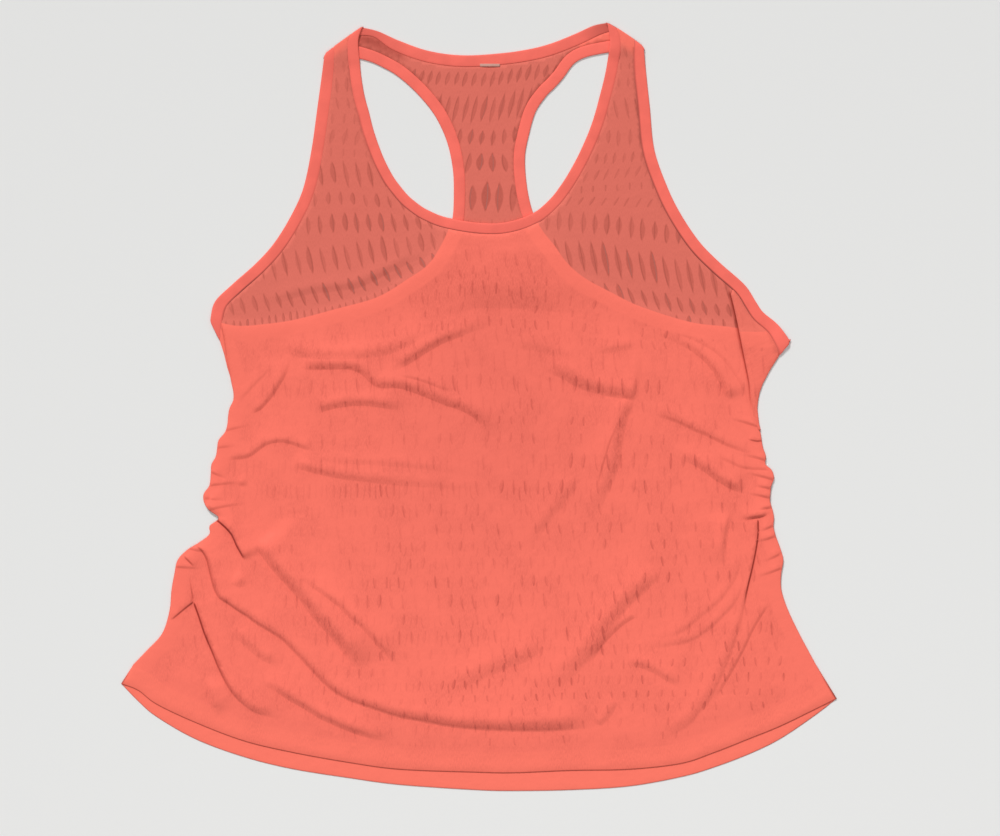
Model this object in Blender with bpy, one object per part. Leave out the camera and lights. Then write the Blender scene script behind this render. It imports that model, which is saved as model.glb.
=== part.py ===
"""A racerback sports tank top of thin jersey, laid flat and face up, in metres, +Z up.

Outlines are drawn in millimetres on the surface that the garment lies on, with +Y towards
the neck, so left is -X and right is +X. The back panel lies on the surface and the front
panel lies on the back. At the right side the back comes round to the front, as far as the
side seam. Each armhole and the neck has one binding, a closed loop that folds over with
the cloth at the shoulders and the underarms.
"""

import math

import bmesh
import bpy
import numpy as np
from mathutils import Vector
from mathutils.geometry import delaunay_2d_cdt

MM = 0.001

# Driving sizes, in millimetres.
CLOTH_WALL = 1.0
BINDING_WALL = 1.6
BINDING_WIDTH = 10.0
SEAM_GAP = 0.3
LABEL_WALL = 0.5
LABEL_WIDTH = 18.0
LABEL_DROP = 4.0
LABEL_TOP = (9.6, 297.4)
LABEL_COLUMNS = 4

# Heights of each layer's middle above the surface.
BACK_MIDDLE = CLOTH_WALL / 2
BACK_BINDING_MIDDLE = BINDING_WALL / 2
FRONT_SIDE_MIDDLE = CLOTH_WALL + SEAM_GAP + CLOTH_WALL / 2
FRONT_MIDDLE = BINDING_WALL + SEAM_GAP + CLOTH_WALL / 2
FRONT_BINDING_MIDDLE = BINDING_WALL + SEAM_GAP + BINDING_WALL / 2
TURN_RADIUS = (FRONT_MIDDLE - BACK_MIDDLE) / 2

# How the body of the front stands off the back, between its edges.
PUFF_HEIGHT = 2.2
PUFF_REACH = 45.0
CHEST_HEIGHT = 125.0
SINK_REACH = 20.0

# Spacing of the points on a panel, along an outline and along a binding.
FRONT_SPACING = 20.0
BACK_SPACING = 27.0
EDGE_STEP = 9.0
BINDING_STEP = 12.0
HEM_STEP = 18.0
CREASE_EASE = 30.0
FOLD_STEP = 13.0
TURN_ANGLES = (45, 0, -45)
TURN_QUARTERS = 4
TURN_ROWS = 6
TURN_MARGIN = 2.0
CLEAR_SHARE = 0.55
FOLD_SHARPNESS = 2.0

# How matt each cloth is.
JERSEY_ROUGHNESS = 0.85
BINDING_ROUGHNESS = 0.8
LABEL_ROUGHNESS = 0.6

# The sides, from above the hem to below the underarm. The gathers in the side seams
# scallop them between the heights -122 and -20.
# height, left, right
SIDE_SECTIONS = [
    (-225, -302, 294.5),
    (-213, -290.5, 288),
    (-198, -277, 280),
    (-178, -270.5, 270.5),
    (-160, -268.8, 264.5),
    (-146, -266.3, 264.3),
    (-134, -263.5, 266.2),
    (-125, -255.2, 264),
    (-118, -244, 261.5),
    (-111, -235.5, 259),
    (-104, -235.5, 257.5),
    (-97, -227.5, 258),
    (-90, -236, 256.8),
    (-83, -240.5, 254.6),
    (-76, -240.6, 254.8),
    (-69, -235.8, 255.6),
    (-62, -234.7, 258),
    (-55, -234.3, 255.9),
    (-50, -233.8, 250.5),
    (-43, -230, 250.9),
    (-36, -228.9, 248.5),
    (-29, -227.6, 247.1),
    (-22, -222, 246.1),
    (-15, -219.9, 244.2),
    (-8, -219.3, 243.3),
    (-1, -218, 242.6),
    (6, -214.8, 243.3),
    (13, -214.7, 244.7),
    (20, -216.2, 247.3),
    (27, -217.6, 250.9),
    (34, -219.8, 254.7),
    (46, -222.7, 262.5),
]

# The hems. The back hangs lower than the front except at the side seams.
# x, front, back
HEM_SECTIONS = [
    (-313, -242, -242),
    (-298, -248, -257.5),
    (-282, -260, -271),
    (-248, -276, -290.5),
    (-206, -292, -306),
    (-164, -302, -316.5),
    (-114, -311, -324.5),
    (-69, -317, -330.5),
    (-3, -319.5, -335),
    (31, -320, -335.8),
    (80, -318, -335),
    (131, -317, -331.8),
    (176, -312, -323.8),
    (204, -303, -315.8),
    (237, -290, -303.3),
    (264, -279, -290),
    (295, -264, -269),
    (313, -255, -255),
]

# The front armholes, from the shoulder to the underarm, which is further off on the right.
# height, left, right
ARMHOLE_SECTIONS = [
    (290, -137.5, 146.5),
    (262, -141.3, 149.5),
    (225, -146.5, 153.5),
    (192, -153.5, 165),
    (168, -164, 177),
    (144, -178.7, 193.3),
    (126, -194.7, 211),
    (107, -216, 232.3),
    (92, -231, 242.3),
]
ARMHOLE_TAIL_RIGHT = [(248.5, 83), (261.5, 72)]

# The edge of the front neck, from each shoulder to the middle.
# height, left, right
NECK_SECTIONS = [
    (320, -105.5, 114.5),
    (300, -104, 112),
    (286, -102.5, 109.2),
    (272, -100, 105.6),
    (258, -96.2, 101.9),
    (244, -92.7, 97.3),
    (230, -88.1, 91.5),
    (216, -82.5, 84.8),
    (202, -75.2, 76.9),
    (193, -68.7, 71),
    (185, -62, 65),
    (179, -55, 59.3),
    (174, -48, 53.8),
    (170.5, -41, 49),
    (167.5, -34, 43),
]
NECK_MIDDLE = (12, 160.5)

# The edge of the back neck, from left to right.
# x, height
BACK_NECK = [
    (-88, 328.5), (-70, 320.5), (-44, 311.5), (-14, 307.6), (20, 309.5), (45, 313.2),
    (64, 318.3), (84, 326.3), (100, 333.5),
]

# The back's armhole edges, which run in under the front from the underarm and then up
# beside the racerback to the shoulder.
# x, height
BACK_ARMHOLE_LEFT = [
    (-211, 71), (-183, 73), (-158, 77), (-124, 86), (-89, 96), (-62, 112), (-46, 123),
    (-36, 136), (-27, 154), (-23, 166), (-22, 188), (-23, 209), (-28, 232), (-38, 254),
    (-52, 272), (-68, 287), (-82, 296), (-102, 304),
]
BACK_ARMHOLE_RIGHT = [
    (226, 69), (186, 74), (141, 88), (116, 100), (92, 113), (77, 126), (66, 141),
    (55, 155), (47, 171), (42, 193), (40.3, 218), (43.5, 237), (49.6, 258), (59, 272),
    (66, 279), (74, 288), (83, 300), (94, 306), (113, 310),
]

# Where the cloth turns over. Each crease is a line between two points.
LEFT_SHOULDER = ((-135, 308), (-102, 332))
RIGHT_SHOULDER = ((144, 315), (112, 336))
LEFT_UNDERARM = ((-235, 76), (-226.5, 59.5))
RIGHT_UNDERARM = ((272.5, 57.5), (262.5, 46))
ARMHOLE_SHARE = 0.27
NECK_SHARE = 0.73

# The side seam on the front, where the strip of the back that comes round ends.
# x, height
SIDE_SEAM = [(243, -4), (238, 8), (238, 21), (234, 40), (230, 60), (226, 80), (221.5, 99)]
STRIP_TURN_LIMIT = 58

# The largest folds of the front, as soft ridges (up) and troughs (down).
# start, middle, end, rise, half width
FRONT_FOLDS = [
    ((-246, -122), (-229, -161), (-189, -189), 3.0, 13),
    ((-189, -189), (-148, -231), (-97, -260), -2.4, 14),
    ((-97, -260), (0, -279), (102, -277), -2.4, 14),
    ((-250, -169), (-226, -238), (-168, -271), 3.2, 14),
    ((-232, -103), (-216, -112), (-204, -135), 3.0, 10),
    ((-165, 52), (-89, 20), (4, -26), -2.2, 15),
    ((-78, 35), (-24, 64), (28, 74), 2.6, 15),
    ((-214, -44), (-183, -28), (-144, -37), 2.6, 12),
    ((-162, -51), (-75, -65), (34, -74), -1.8, 14),
    ((153, 27), (118, -20), (99, -81), -2.2, 15),
    ((159, 66), (203, 31), (217, 8), 2.4, 13),
    ((243, -103), (236, -150), (210, -214), 3.2, 13),
    ((251, -176), (220, -232), (166, -284), -2.0, 14),
    ((158, -145), (122, -178), (80, -229), 2.2, 15),
]


def smooth_line(points, step):
    """Points about a step apart along a smooth curve through the given ones."""
    knots = [np.array(point, float) for point in points]
    knots = [2 * knots[0] - knots[1]] + knots + [2 * knots[-1] - knots[-2]]
    line = []
    for before, start, end, after in zip(knots, knots[1:], knots[2:], knots[3:]):
        count = max(1, round(float(np.linalg.norm(end - start)) / step))
        for number in range(count):
            t = number / count
            bend = (2 * before - 5 * start + 4 * end - after) * t * t
            swing = (3 * start - before - 3 * end + after) * t ** 3
            line.append((2 * start + (end - before) * t + bend + swing) / 2)
    return np.array(line + [knots[-2]])


def moved_left(line, distance):
    """The line moved sideways, to the left of its direction of travel."""
    travel = np.gradient(line, axis=0)
    travel /= np.linalg.norm(travel, axis=1)[:, None]
    return line + distance * np.stack([-travel[:, 1], travel[:, 0]], axis=1)


def lengths_along(line):
    """The distance travelled at each point of a line."""
    steps = np.linalg.norm(np.diff(line, axis=0), axis=1)
    return np.concatenate([[0], np.cumsum(steps)])


def binding_run(edge, side, first_inner, last_inner):
    """The free edge and the sewn edge of a stretch of binding, between two creases."""
    outer = smooth_line(edge, BINDING_STEP)
    inner = moved_left(outer, side * BINDING_WIDTH)
    along = lengths_along(outer)
    start_share = np.clip(1 - along / CREASE_EASE, 0, 1) ** 2
    end_share = np.clip(1 - (along[-1] - along) / CREASE_EASE, 0, 1) ** 2
    shift_first = np.array(first_inner) - inner[0]
    shift_last = np.array(last_inner) - inner[-1]
    inner = inner + start_share[:, None] * shift_first + end_share[:, None] * shift_last
    return outer, inner


def sewn_line(run, side):
    """The edge of the panel beside a run of binding, a seam gap away from it."""
    return moved_left(run[1], side * SEAM_GAP)


def share_point(crease, share):
    """A point part of the way along a crease."""
    first, last = np.array(crease[0], float), np.array(crease[1], float)
    return first + (last - first) * share


def cut_near(line, point):
    """A line's points before and after the one nearest to a point."""
    nearest = int(np.argmin(np.linalg.norm(line - np.array(point), axis=1)))
    return line[:nearest], line[nearest + 1:]


def side_x(height, column):
    """Where the left (column 1) or right (column 2) side lies at a height."""
    rows = np.array(SIDE_SECTIONS)
    return np.interp(height, rows[:, 0], rows[:, column])


def right_turn_x(height):
    """Where the cloth turns over at the right side, also beside the armhole."""
    rows = [(row[0], row[2]) for row in SIDE_SECTIONS] + [(STRIP_TURN_LIMIT, RIGHT_UNDERARM[0][0])]
    heights, places = np.array(rows).T
    return np.interp(height, heights, places)


def soft_step(value):
    """0 below 0, 1 above 1, and smooth between."""
    value = np.clip(value, 0, 1)
    return value * value * (3 - 2 * value)


def fold_line(fold, step):
    """Points along the middle of a fold."""
    start, middle, end = fold[:3]
    return smooth_line([start, middle, end], step)


def front_height(x, y, fold_lines):
    """The height of the middle of the front's cloth."""
    hem = np.interp(x, *np.array(HEM_SECTIONS, float)[:, :2].T)
    from_left = x - side_x(y, 1)
    from_right = side_x(y, 2) - x
    low_left = soft_step((LEFT_UNDERARM[1][1] - BINDING_WIDTH - y) / SINK_REACH)
    low_right = soft_step((SIDE_SEAM[0][1] - y) / SINK_REACH)
    sunk_left = low_left * soft_step(1 - from_left / SINK_REACH)
    sunk_right = low_right * soft_step(1 - from_right / SINK_REACH)
    height = FRONT_MIDDLE - (FRONT_MIDDLE - FRONT_SIDE_MIDDLE) * max(sunk_left, sunk_right)
    lowest = height
    below_chest = soft_step((CHEST_HEIGHT - y) / PUFF_REACH)
    from_edge = min(from_left, from_right, y - hem)
    height += PUFF_HEIGHT * soft_step(from_edge / PUFF_REACH) * below_chest
    for fold, line in zip(FRONT_FOLDS, fold_lines):
        distance = float(np.linalg.norm(line - np.array([x, y]), axis=1).min())
        height += fold[3] * math.exp(-FOLD_SHARPNESS * (distance / fold[4]) ** 2)
    return max(height, lowest)


def turned_strip(x, y):
    """A point of the flat back with the strip beyond the right side turned over."""
    turn = right_turn_x(y)
    beyond = x - turn
    if beyond <= 0 or y < SIDE_SEAM[0][1] - EDGE_STEP:
        return x, y, BACK_MIDDLE
    angle = beyond / TURN_RADIUS
    if angle < math.pi:
        out = TURN_RADIUS * math.sin(angle)
        return turn + out, y, BACK_MIDDLE + TURN_RADIUS * (1 - math.cos(angle))
    return turn - TURN_RADIUS * (angle - math.pi), y, FRONT_MIDDLE


def strip_unrolled(line):
    """Where points of the turned strip lie in the flat back."""
    turns = right_turn_x(line[:, 1])
    return np.stack([2 * turns - line[:, 0] + math.pi * TURN_RADIUS, line[:, 1]], axis=1)


def lies_inside(spot, outline):
    """Whether a point lies inside an outline and well away from it."""
    if np.linalg.norm(outline - spot, axis=1).min() < EDGE_STEP * CLEAR_SHARE:
        return False
    inside = False
    for (x, y), (next_x, next_y) in zip(outline, np.roll(outline, -1, axis=0)):
        if (y > spot[1]) != (next_y > spot[1]):
            inside ^= spot[0] < x + (spot[1] - y) / (next_y - y) * (next_x - x)
    return inside


def thinned(spots):
    """The points that are no nearer to each other than half a fold step."""
    kept = []
    for spot in spots:
        if all(np.linalg.norm(spot - other) > FOLD_STEP / 2 for other in kept):
            kept.append(spot)
    return kept


def cloth_object(name, bm, wall, colour, roughness):
    """A named sheet of cloth with its wall and its material."""
    bmesh.ops.recalc_face_normals(bm, faces=bm.faces)
    mesh = bpy.data.meshes.new(name)
    bm.to_mesh(mesh)
    bm.free()
    mesh.shade_smooth()
    piece = bpy.data.objects.new(name, mesh)
    bpy.context.scene.collection.objects.link(piece)
    thick = piece.modifiers.new("wall", "SOLIDIFY")
    thick.thickness = wall * MM
    thick.offset = 0
    material = bpy.data.materials.new(name)
    material.use_nodes = True
    shader = material.node_tree.nodes["Principled BSDF"]
    shader.inputs["Base Color"].default_value = colour
    shader.inputs["Roughness"].default_value = roughness
    shader.inputs["Metallic"].default_value = 0.0
    mesh.materials.append(material)
    return piece


def panel(name, outline, extra, ties, spacing, place, colour):
    """A panel cut along its outline, with points a spacing apart and others where it bends."""
    outline = np.array(outline)
    points = list(outline)
    lowest, highest = outline.min(axis=0), outline.max(axis=0)
    first_extra = len(points)
    points += [np.array(point) for point in extra]
    placed = np.array(points)
    rows = int((highest[1] - lowest[1]) / (spacing * math.sqrt(3) / 2)) + 1
    columns = int((highest[0] - lowest[0]) / spacing) + 2
    for row in range(rows):
        for column in range(columns):
            x = lowest[0] + (column - row % 2 / 2) * spacing
            y = lowest[1] + (row + 0.5) * spacing * math.sqrt(3) / 2
            if np.linalg.norm(placed - (x, y), axis=1).min() > spacing * CLEAR_SHARE:
                points.append(np.array([x, y]))
    around = [(number, (number + 1) % len(outline)) for number in range(len(outline))]
    tied = [(first_extra + first, first_extra + last) for first, last in ties]
    flat = [Vector((float(x), float(y))) for x, y in points]
    cut = delaunay_2d_cdt(flat, around + tied, [list(range(len(outline)))], 1, 1e-4)
    bm = bmesh.new()
    for spot in cut[0]:
        bm.verts.new(Vector(place(spot.x, spot.y)) * MM)
    bm.verts.ensure_lookup_table()
    for corners in cut[2]:
        bm.faces.new([bm.verts[corner] for corner in corners])
    loose = [vert for vert in bm.verts if not vert.link_faces]
    bmesh.ops.delete(bm, geom=loose, context="VERTS")
    return cloth_object(name, bm, CLOTH_WALL, colour, JERSEY_ROUGHNESS)


def binding(name, front_run, back_run, colour):
    """A binding: a flat strip along the front run, over a crease, back along the other
    run and over the crease where it began."""
    radius = (FRONT_BINDING_MIDDLE - BACK_BINDING_MIDDLE) / 2
    level = (FRONT_BINDING_MIDDLE + BACK_BINDING_MIDDLE) / 2
    middle = np.concatenate([front_run[0], back_run[0]]).mean(axis=0)

    def flat_rows(run, height):
        return [[(*outer, height), (*inner, height)] for outer, inner in zip(*run)]

    def turn_rows(outer, inner, signs):
        """The strip going round a crease, away from the middle of the binding."""
        out = np.array([-(inner - outer)[1], (inner - outer)[0]])
        out /= np.linalg.norm(out)
        if out @ (outer - middle) < 0:
            out = -out
        rows = []
        for angle in signs:
            reach = radius * math.cos(math.radians(angle)) * out
            height = level + radius * math.sin(math.radians(angle))
            rows.append([(*(outer + reach), height), (*(inner + reach), height)])
        return rows

    rows = flat_rows(front_run, FRONT_BINDING_MIDDLE)
    rows += turn_rows(front_run[0][-1], front_run[1][-1], TURN_ANGLES)
    rows += flat_rows(back_run, BACK_BINDING_MIDDLE)
    rows += turn_rows(front_run[0][0], front_run[1][0], TURN_ANGLES[::-1])
    bm = bmesh.new()
    edges = [[bm.verts.new(Vector(point) * MM) for point in row] for row in rows]
    for (outer, inner), (next_outer, next_inner) in zip(edges, edges[1:] + edges[:1]):
        bm.faces.new([outer, inner, next_inner, next_outer])
    return cloth_object(name, bm, BINDING_WALL, colour, BINDING_ROUGHNESS)


def neck_label(colour):
    """The tab of the size label, hanging from the back neck binding on the racerback."""
    bm = bmesh.new()
    bmesh.ops.create_grid(bm, x_segments=LABEL_COLUMNS, y_segments=1, size=0.5)
    for vert in bm.verts:
        x = LABEL_TOP[0] + vert.co.x * LABEL_WIDTH
        y = LABEL_TOP[1] - LABEL_DROP / 2 + vert.co.y * LABEL_DROP
        vert.co = Vector((x, y, CLOTH_WALL + SEAM_GAP + LABEL_WALL / 2)) * MM
    return cloth_object("neck_label", bm, LABEL_WALL, colour, LABEL_ROUGHNESS)


def main():
    for old in list(bpy.data.objects):
        bpy.data.objects.remove(old)

    coral = (0.9, 0.16, 0.12, 1)
    bright_coral = (0.95, 0.14, 0.11, 1)
    pale_grey = (0.6, 0.55, 0.52, 1)

    heights = [row[0] for row in ARMHOLE_SECTIONS]
    left_edge = [(row[1], height) for row, height in zip(ARMHOLE_SECTIONS, heights)]
    right_edge = [(row[2], height) for row, height in zip(ARMHOLE_SECTIONS, heights)]
    left_inner = share_point(LEFT_SHOULDER, ARMHOLE_SHARE)
    right_inner = share_point(RIGHT_SHOULDER, ARMHOLE_SHARE)
    left_neck_inner = share_point(LEFT_SHOULDER, NECK_SHARE)
    right_neck_inner = share_point(RIGHT_SHOULDER, NECK_SHARE)

    front_left = binding_run(
        [LEFT_SHOULDER[0]] + left_edge + [LEFT_UNDERARM[0]], 1, left_inner, LEFT_UNDERARM[1]
    )
    back_left = binding_run(
        [LEFT_UNDERARM[0]] + BACK_ARMHOLE_LEFT + [LEFT_SHOULDER[0]], -1, LEFT_UNDERARM[1], left_inner
    )
    front_right = binding_run(
        [RIGHT_SHOULDER[0]] + right_edge + ARMHOLE_TAIL_RIGHT + [RIGHT_UNDERARM[0]],
        -1, right_inner, RIGHT_UNDERARM[1],
    )
    back_right = binding_run(
        [RIGHT_UNDERARM[0]] + BACK_ARMHOLE_RIGHT + [RIGHT_SHOULDER[0]], 1, RIGHT_UNDERARM[1], right_inner
    )
    neck_left = [(row[1], row[0]) for row in NECK_SECTIONS]
    neck_right = [(row[2], row[0]) for row in reversed(NECK_SECTIONS)]
    front_neck = binding_run(
        [LEFT_SHOULDER[1]] + neck_left + [NECK_MIDDLE] + neck_right + [RIGHT_SHOULDER[1]],
        -1, left_neck_inner, right_neck_inner,
    )
    back_neck = binding_run(
        [RIGHT_SHOULDER[1]] + BACK_NECK[::-1] + [LEFT_SHOULDER[1]], 1, right_neck_inner, left_neck_inner
    )

    binding("armhole_binding_left", front_left, back_left, bright_coral)
    binding("armhole_binding_right", front_right, back_right, bright_coral)
    binding("neck_binding", front_neck, back_neck, bright_coral)
    neck_label(pale_grey)

    left_side = smooth_line([(row[1], row[0]) for row in reversed(SIDE_SECTIONS)], EDGE_STEP)
    right_side = smooth_line([(row[2], row[0]) for row in SIDE_SECTIONS], EDGE_STEP)
    below_seam, above_seam = cut_near(right_side, SIDE_SEAM[0])
    seam = smooth_line(SIDE_SEAM, EDGE_STEP)
    front_hem = smooth_line([(row[0], row[1]) for row in HEM_SECTIONS], HEM_STEP)
    back_hem = smooth_line([(row[0], row[2]) for row in HEM_SECTIONS], HEM_STEP)
    right_sewn = sewn_line(front_right, -1)
    above_strip, beside_strip = cut_near(right_sewn, seam[-1])

    front_outline = np.concatenate([
        front_hem, below_seam, moved_left(seam, SEAM_GAP), above_strip[::-1],
        sewn_line(front_neck, -1)[::-1], sewn_line(front_left, 1), left_side,
    ])
    crests = []
    fold_lines = [fold_line(fold, FOLD_STEP / 2) for fold in FRONT_FOLDS]
    for fold in FRONT_FOLDS:
        line = fold_line(fold, FOLD_STEP)
        for offset in (0, fold[4], -fold[4]):
            crests += list(moved_left(line, offset))
    inside = [spot for spot in thinned(crests) if lies_inside(spot, front_outline)]
    panel(
        "front_panel", front_outline, inside, [], FRONT_SPACING,
        lambda x, y: (x, y, front_height(x, y, fold_lines)), coral,
    )

    strip = np.concatenate([seam, beside_strip])
    quarters = [n / TURN_QUARTERS * math.pi * TURN_RADIUS for n in range(TURN_QUARTERS + 1)]
    seam_foot = SIDE_SEAM[0][1]
    turn_foot = np.array([(right_turn_x(seam_foot) + beyond, seam_foot) for beyond in quarters[:-1]])
    turn_heights = np.linspace(seam_foot, RIGHT_UNDERARM[1][1] - TURN_MARGIN, TURN_ROWS + 1)[1:]
    turns = []
    ties = []
    for beyond in quarters:
        for number, height in enumerate(turn_heights):
            turns.append((right_turn_x(height) + beyond, height))
            if number:
                ties.append((len(turns) - 2, len(turns) - 1))
    back_outline = np.concatenate([
        back_hem, below_seam, turn_foot, strip_unrolled(strip), sewn_line(back_right, 1),
        sewn_line(back_neck, 1), sewn_line(back_left, -1)[::-1], left_side,
    ])
    panel("back_panel", back_outline, turns, ties, BACK_SPACING, turned_strip, coral)


main()
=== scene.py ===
"""A racerback sports tank top of thin coral jersey, laid flat and face up.

Sizes are in millimetres on the surface that the garment lies on, as the maker's outlines
are: +Y towards the neck, left -X and right +X. The back panel lies on the surface with the
front panel on it. At the right side the back comes round to the front, up to the side seam.
"""

import math

import bmesh
import bpy
import numpy as np
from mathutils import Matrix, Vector
from mathutils.geometry import delaunay_2d_cdt
from mathutils.kdtree import KDTree


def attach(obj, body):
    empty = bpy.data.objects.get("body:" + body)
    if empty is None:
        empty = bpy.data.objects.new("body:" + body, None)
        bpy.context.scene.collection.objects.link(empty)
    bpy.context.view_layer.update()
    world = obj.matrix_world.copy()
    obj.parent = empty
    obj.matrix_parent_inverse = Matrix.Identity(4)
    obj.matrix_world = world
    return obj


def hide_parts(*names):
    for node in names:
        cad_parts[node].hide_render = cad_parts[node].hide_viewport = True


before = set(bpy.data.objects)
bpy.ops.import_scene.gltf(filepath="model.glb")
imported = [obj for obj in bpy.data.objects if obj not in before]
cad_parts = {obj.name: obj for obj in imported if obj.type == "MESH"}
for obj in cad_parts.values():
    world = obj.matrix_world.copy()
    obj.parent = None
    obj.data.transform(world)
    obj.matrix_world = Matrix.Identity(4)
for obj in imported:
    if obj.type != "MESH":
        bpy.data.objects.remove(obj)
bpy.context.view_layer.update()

MM = 0.001

# Thicknesses of the cloth: of the panels, of the front's hem above its edge and at it, and
# of the back's hem.
CLOTH = 0.55
HEM_CLOTH = 0.8
HEM_EDGE = 0.35
BACK_HEM_CLOTH = 0.6
HEM_DEPTH = 18.0

# A binding's thickness at its free edge and at its sewn edge on the front and on the back,
# its usual width, and how far the edge of a panel is tucked into it.
BINDING_WALL = 1.3
BINDING_SEWN_WALL = 0.6
BACK_SEWN_WALL = 1.0
BINDING_WIDTH = 10.0
BINDING_TUCK = 0.6

# How long a binding's sewn edge takes to come to its width after the crease where it
# begins, and where and over what length it is wider before its last crease.
CREASE_EASE = 30.0
SWELL_PLACE = 10.0
SWELL_REACH = 15.0

FRONT_SPACING = 3.0
BACK_SPACING = 3.4
EDGE_STEP = 2.2
CREASE_STEP = 4.0
SEAM_STEP = 1.6
FOOT_STEP = 1.9
TURN_STEP = 1.5
BINDING_STEP = 2.6
BINDING_AROUND = 14

# Further rows of points: inside the edges, beside the back's armholes as they lie under the
# front, beside the side seam, and over the shoulder creases in shares of the turn.
EDGE_ROWS = (0.9, 2.4)
ARMHOLE_ROWS = (-6, -3.5, -1, 1.5, 4, 8, 10.5, 13, 15.5, 18)
SEAM_ROWS = (-0.6, 0.5, 1.3, 2.1, 3.0, 4.5)
SHOULDER_ROWS = (-0.7, 0, 0.35, 0.6, 0.82)

# The nearest that the further points lie to one another and to an edge, and the lattice's to
# them as a share of its spacing; and the steps in which the distance to a line is measured.
POINT_GAP = 0.3
EDGE_GAP = 0.15
LATTICE_GAP = 0.55
DISTANCE_STEP = 0.6

# Heights of the layers' middles above the surface. The creases over which the bindings turn
# are a little higher than the bindings.
FLOOR_CLEARANCE = 0.05
LAYER_GAP = 0.15
BACK_MIDDLE = FLOOR_CLEARANCE + CLOTH / 2
BACK_BINDING_MIDDLE = FLOOR_CLEARANCE + BINDING_WALL / 2
ON_BACK = BACK_MIDDLE + CLOTH + LAYER_GAP
ON_BINDING = FLOOR_CLEARANCE + BINDING_WALL + CLOTH / 2 + LAYER_GAP
CREASE_TOP = FLOOR_CLEARANCE + BINDING_WALL * 1.5 + 0.1
CREASE_MIDDLE = (CREASE_TOP + BACK_BINDING_MIDDLE) / 2
CREASE_RADIUS = (CREASE_TOP - BACK_BINDING_MIDDLE) / 2
SHOULDER_REACH = CREASE_RADIUS + 0.3
BINDING_SINK = (BINDING_WALL - CLOTH) / 2
TURN_RADIUS = (ON_BINDING - BACK_MIDDLE) / 2
STRIP_LAP = 1.3
SEAM_GAP = 0.25

# The bindings climb to a crease over this length, turn over it in rows at these angles, and
# are blunt rings round, by these powers of the cosine across and of the sine through.
CREASE_CLIMB = 25
TURN_ANGLES = (60, 30, 0, -30, -60)
RING_ACROSS = 0.35
RING_THROUGH = 0.6

# The front is puffed up this much away from its edges and from the back's edge, keeps this
# share of its puff and creases at its edges, and lies down towards the hem.
PUFF = 1.2
PUFF_EDGE = 35
PUFF_FROM = 12
PUFF_OVER = 40
EDGE_FREEDOM = 0.35
EDGE_SETTLES = 4
HEM_SETTLES = 6

# How near a shoulder its doubled cloth and its turning reach, and over what length the front
# climbs to it; and over what height the strip comes to lap over the side seam.
SHOULDER_NEAR = (50, 60)
SHOULDER_CLIMB = 22
LAP_GROWS = 45

# The painted shade in the hollow of the back neck, and the fine lines of painted shadow under the
# front's hem and beside the side seam: how dark and how wide, the seam's at shares of its length from
# the hem up.
BACK_SHADE = 0.6
BACK_SHADE_REACH = 6
HEM_SHADE = 0.75
HEM_SHADE_REACH = 0.6
SEAM_SHADES = ((0.14, 0.26, 0.45), (0, 0.6, 1.0))
SEAM_SHADE_REACHES = ((0, 0.5, 0.68, 0.85, 1), (0.8, 1.1, 1.8, 1.7, 1.5))

# How far inside the edge of the cloth behind it a panel's cloth lies is its backing. Under
# SHEER_BACKING its slots are those of single cloth. It fades out this much a mm below the
# shoulders' turnings. The strip at the right side has its own backing at these heights, and
# the back has the front's cloth on it from this height and x on at the right shoulder.
SHEER_BACKING = 6
SHOULDER_FADE = 0.16
STRIP_BACKING = ((50, 66), (14, 0.0))
BACKED_SHOULDER_FOOT = 285
BACKED_SHOULDER_X = 88

# The middle of the front, where painted shade makes the doubled cloth duller: its x and how broad it is.
SHADED_MIDDLE_X = 8
SHADED_MIDDLE_BREADTH = 105

# The size label's tab: its middle, its size and the thickness of its tape.
LABEL_MIDDLE = (9.6, 299.0, 1.15)
LABEL_SIZE = (17.5, 2.2)
LABEL_TAPE = 0.35

# The jersey's colours: single, its slots and its widest ones; double, duller with painted shade in the
# middle, next to a binding and in the turned hem, and its slots; and what painted shade takes away.
SINGLE_CLOTH = (0.69, 0.146, 0.105, 1)
SINGLE_SLOT = (0.45, 0.084, 0.058, 1)
WIDE_SLOT = (0.42, 0.12, 0.095, 1)
DOUBLE_CLOTH = (0.905, 0.166, 0.115, 1)
DULL_SHADED_CLOTH = (0.835, 0.152, 0.107, 1)
BAND_CLOTH = (0.897, 0.163, 0.113, 1)
HEM_COLOUR = (0.915, 0.17, 0.116, 1)
DOUBLE_SLOT = (0.60, 0.093, 0.066, 1)
FOLD_SHADE = (0.42, 0.16, 0.12, 1)
EDGING_COLOUR = (0.9, 0.15, 0.111, 1)
TAPE_COLOUR = (0.62, 0.33, 0.27, 1)
FLOOR_COLOUR = (0.74, 0.74, 0.73, 1)

# In metres, the width of the photograph's frame, 1000 pixels of 0.875 mm, and the camera's
# place, straight above its middle.
FRAME_WIDTH = 0.875
CAMERA_PLACE = (0.0184, -0.0096, 2.0)

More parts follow.
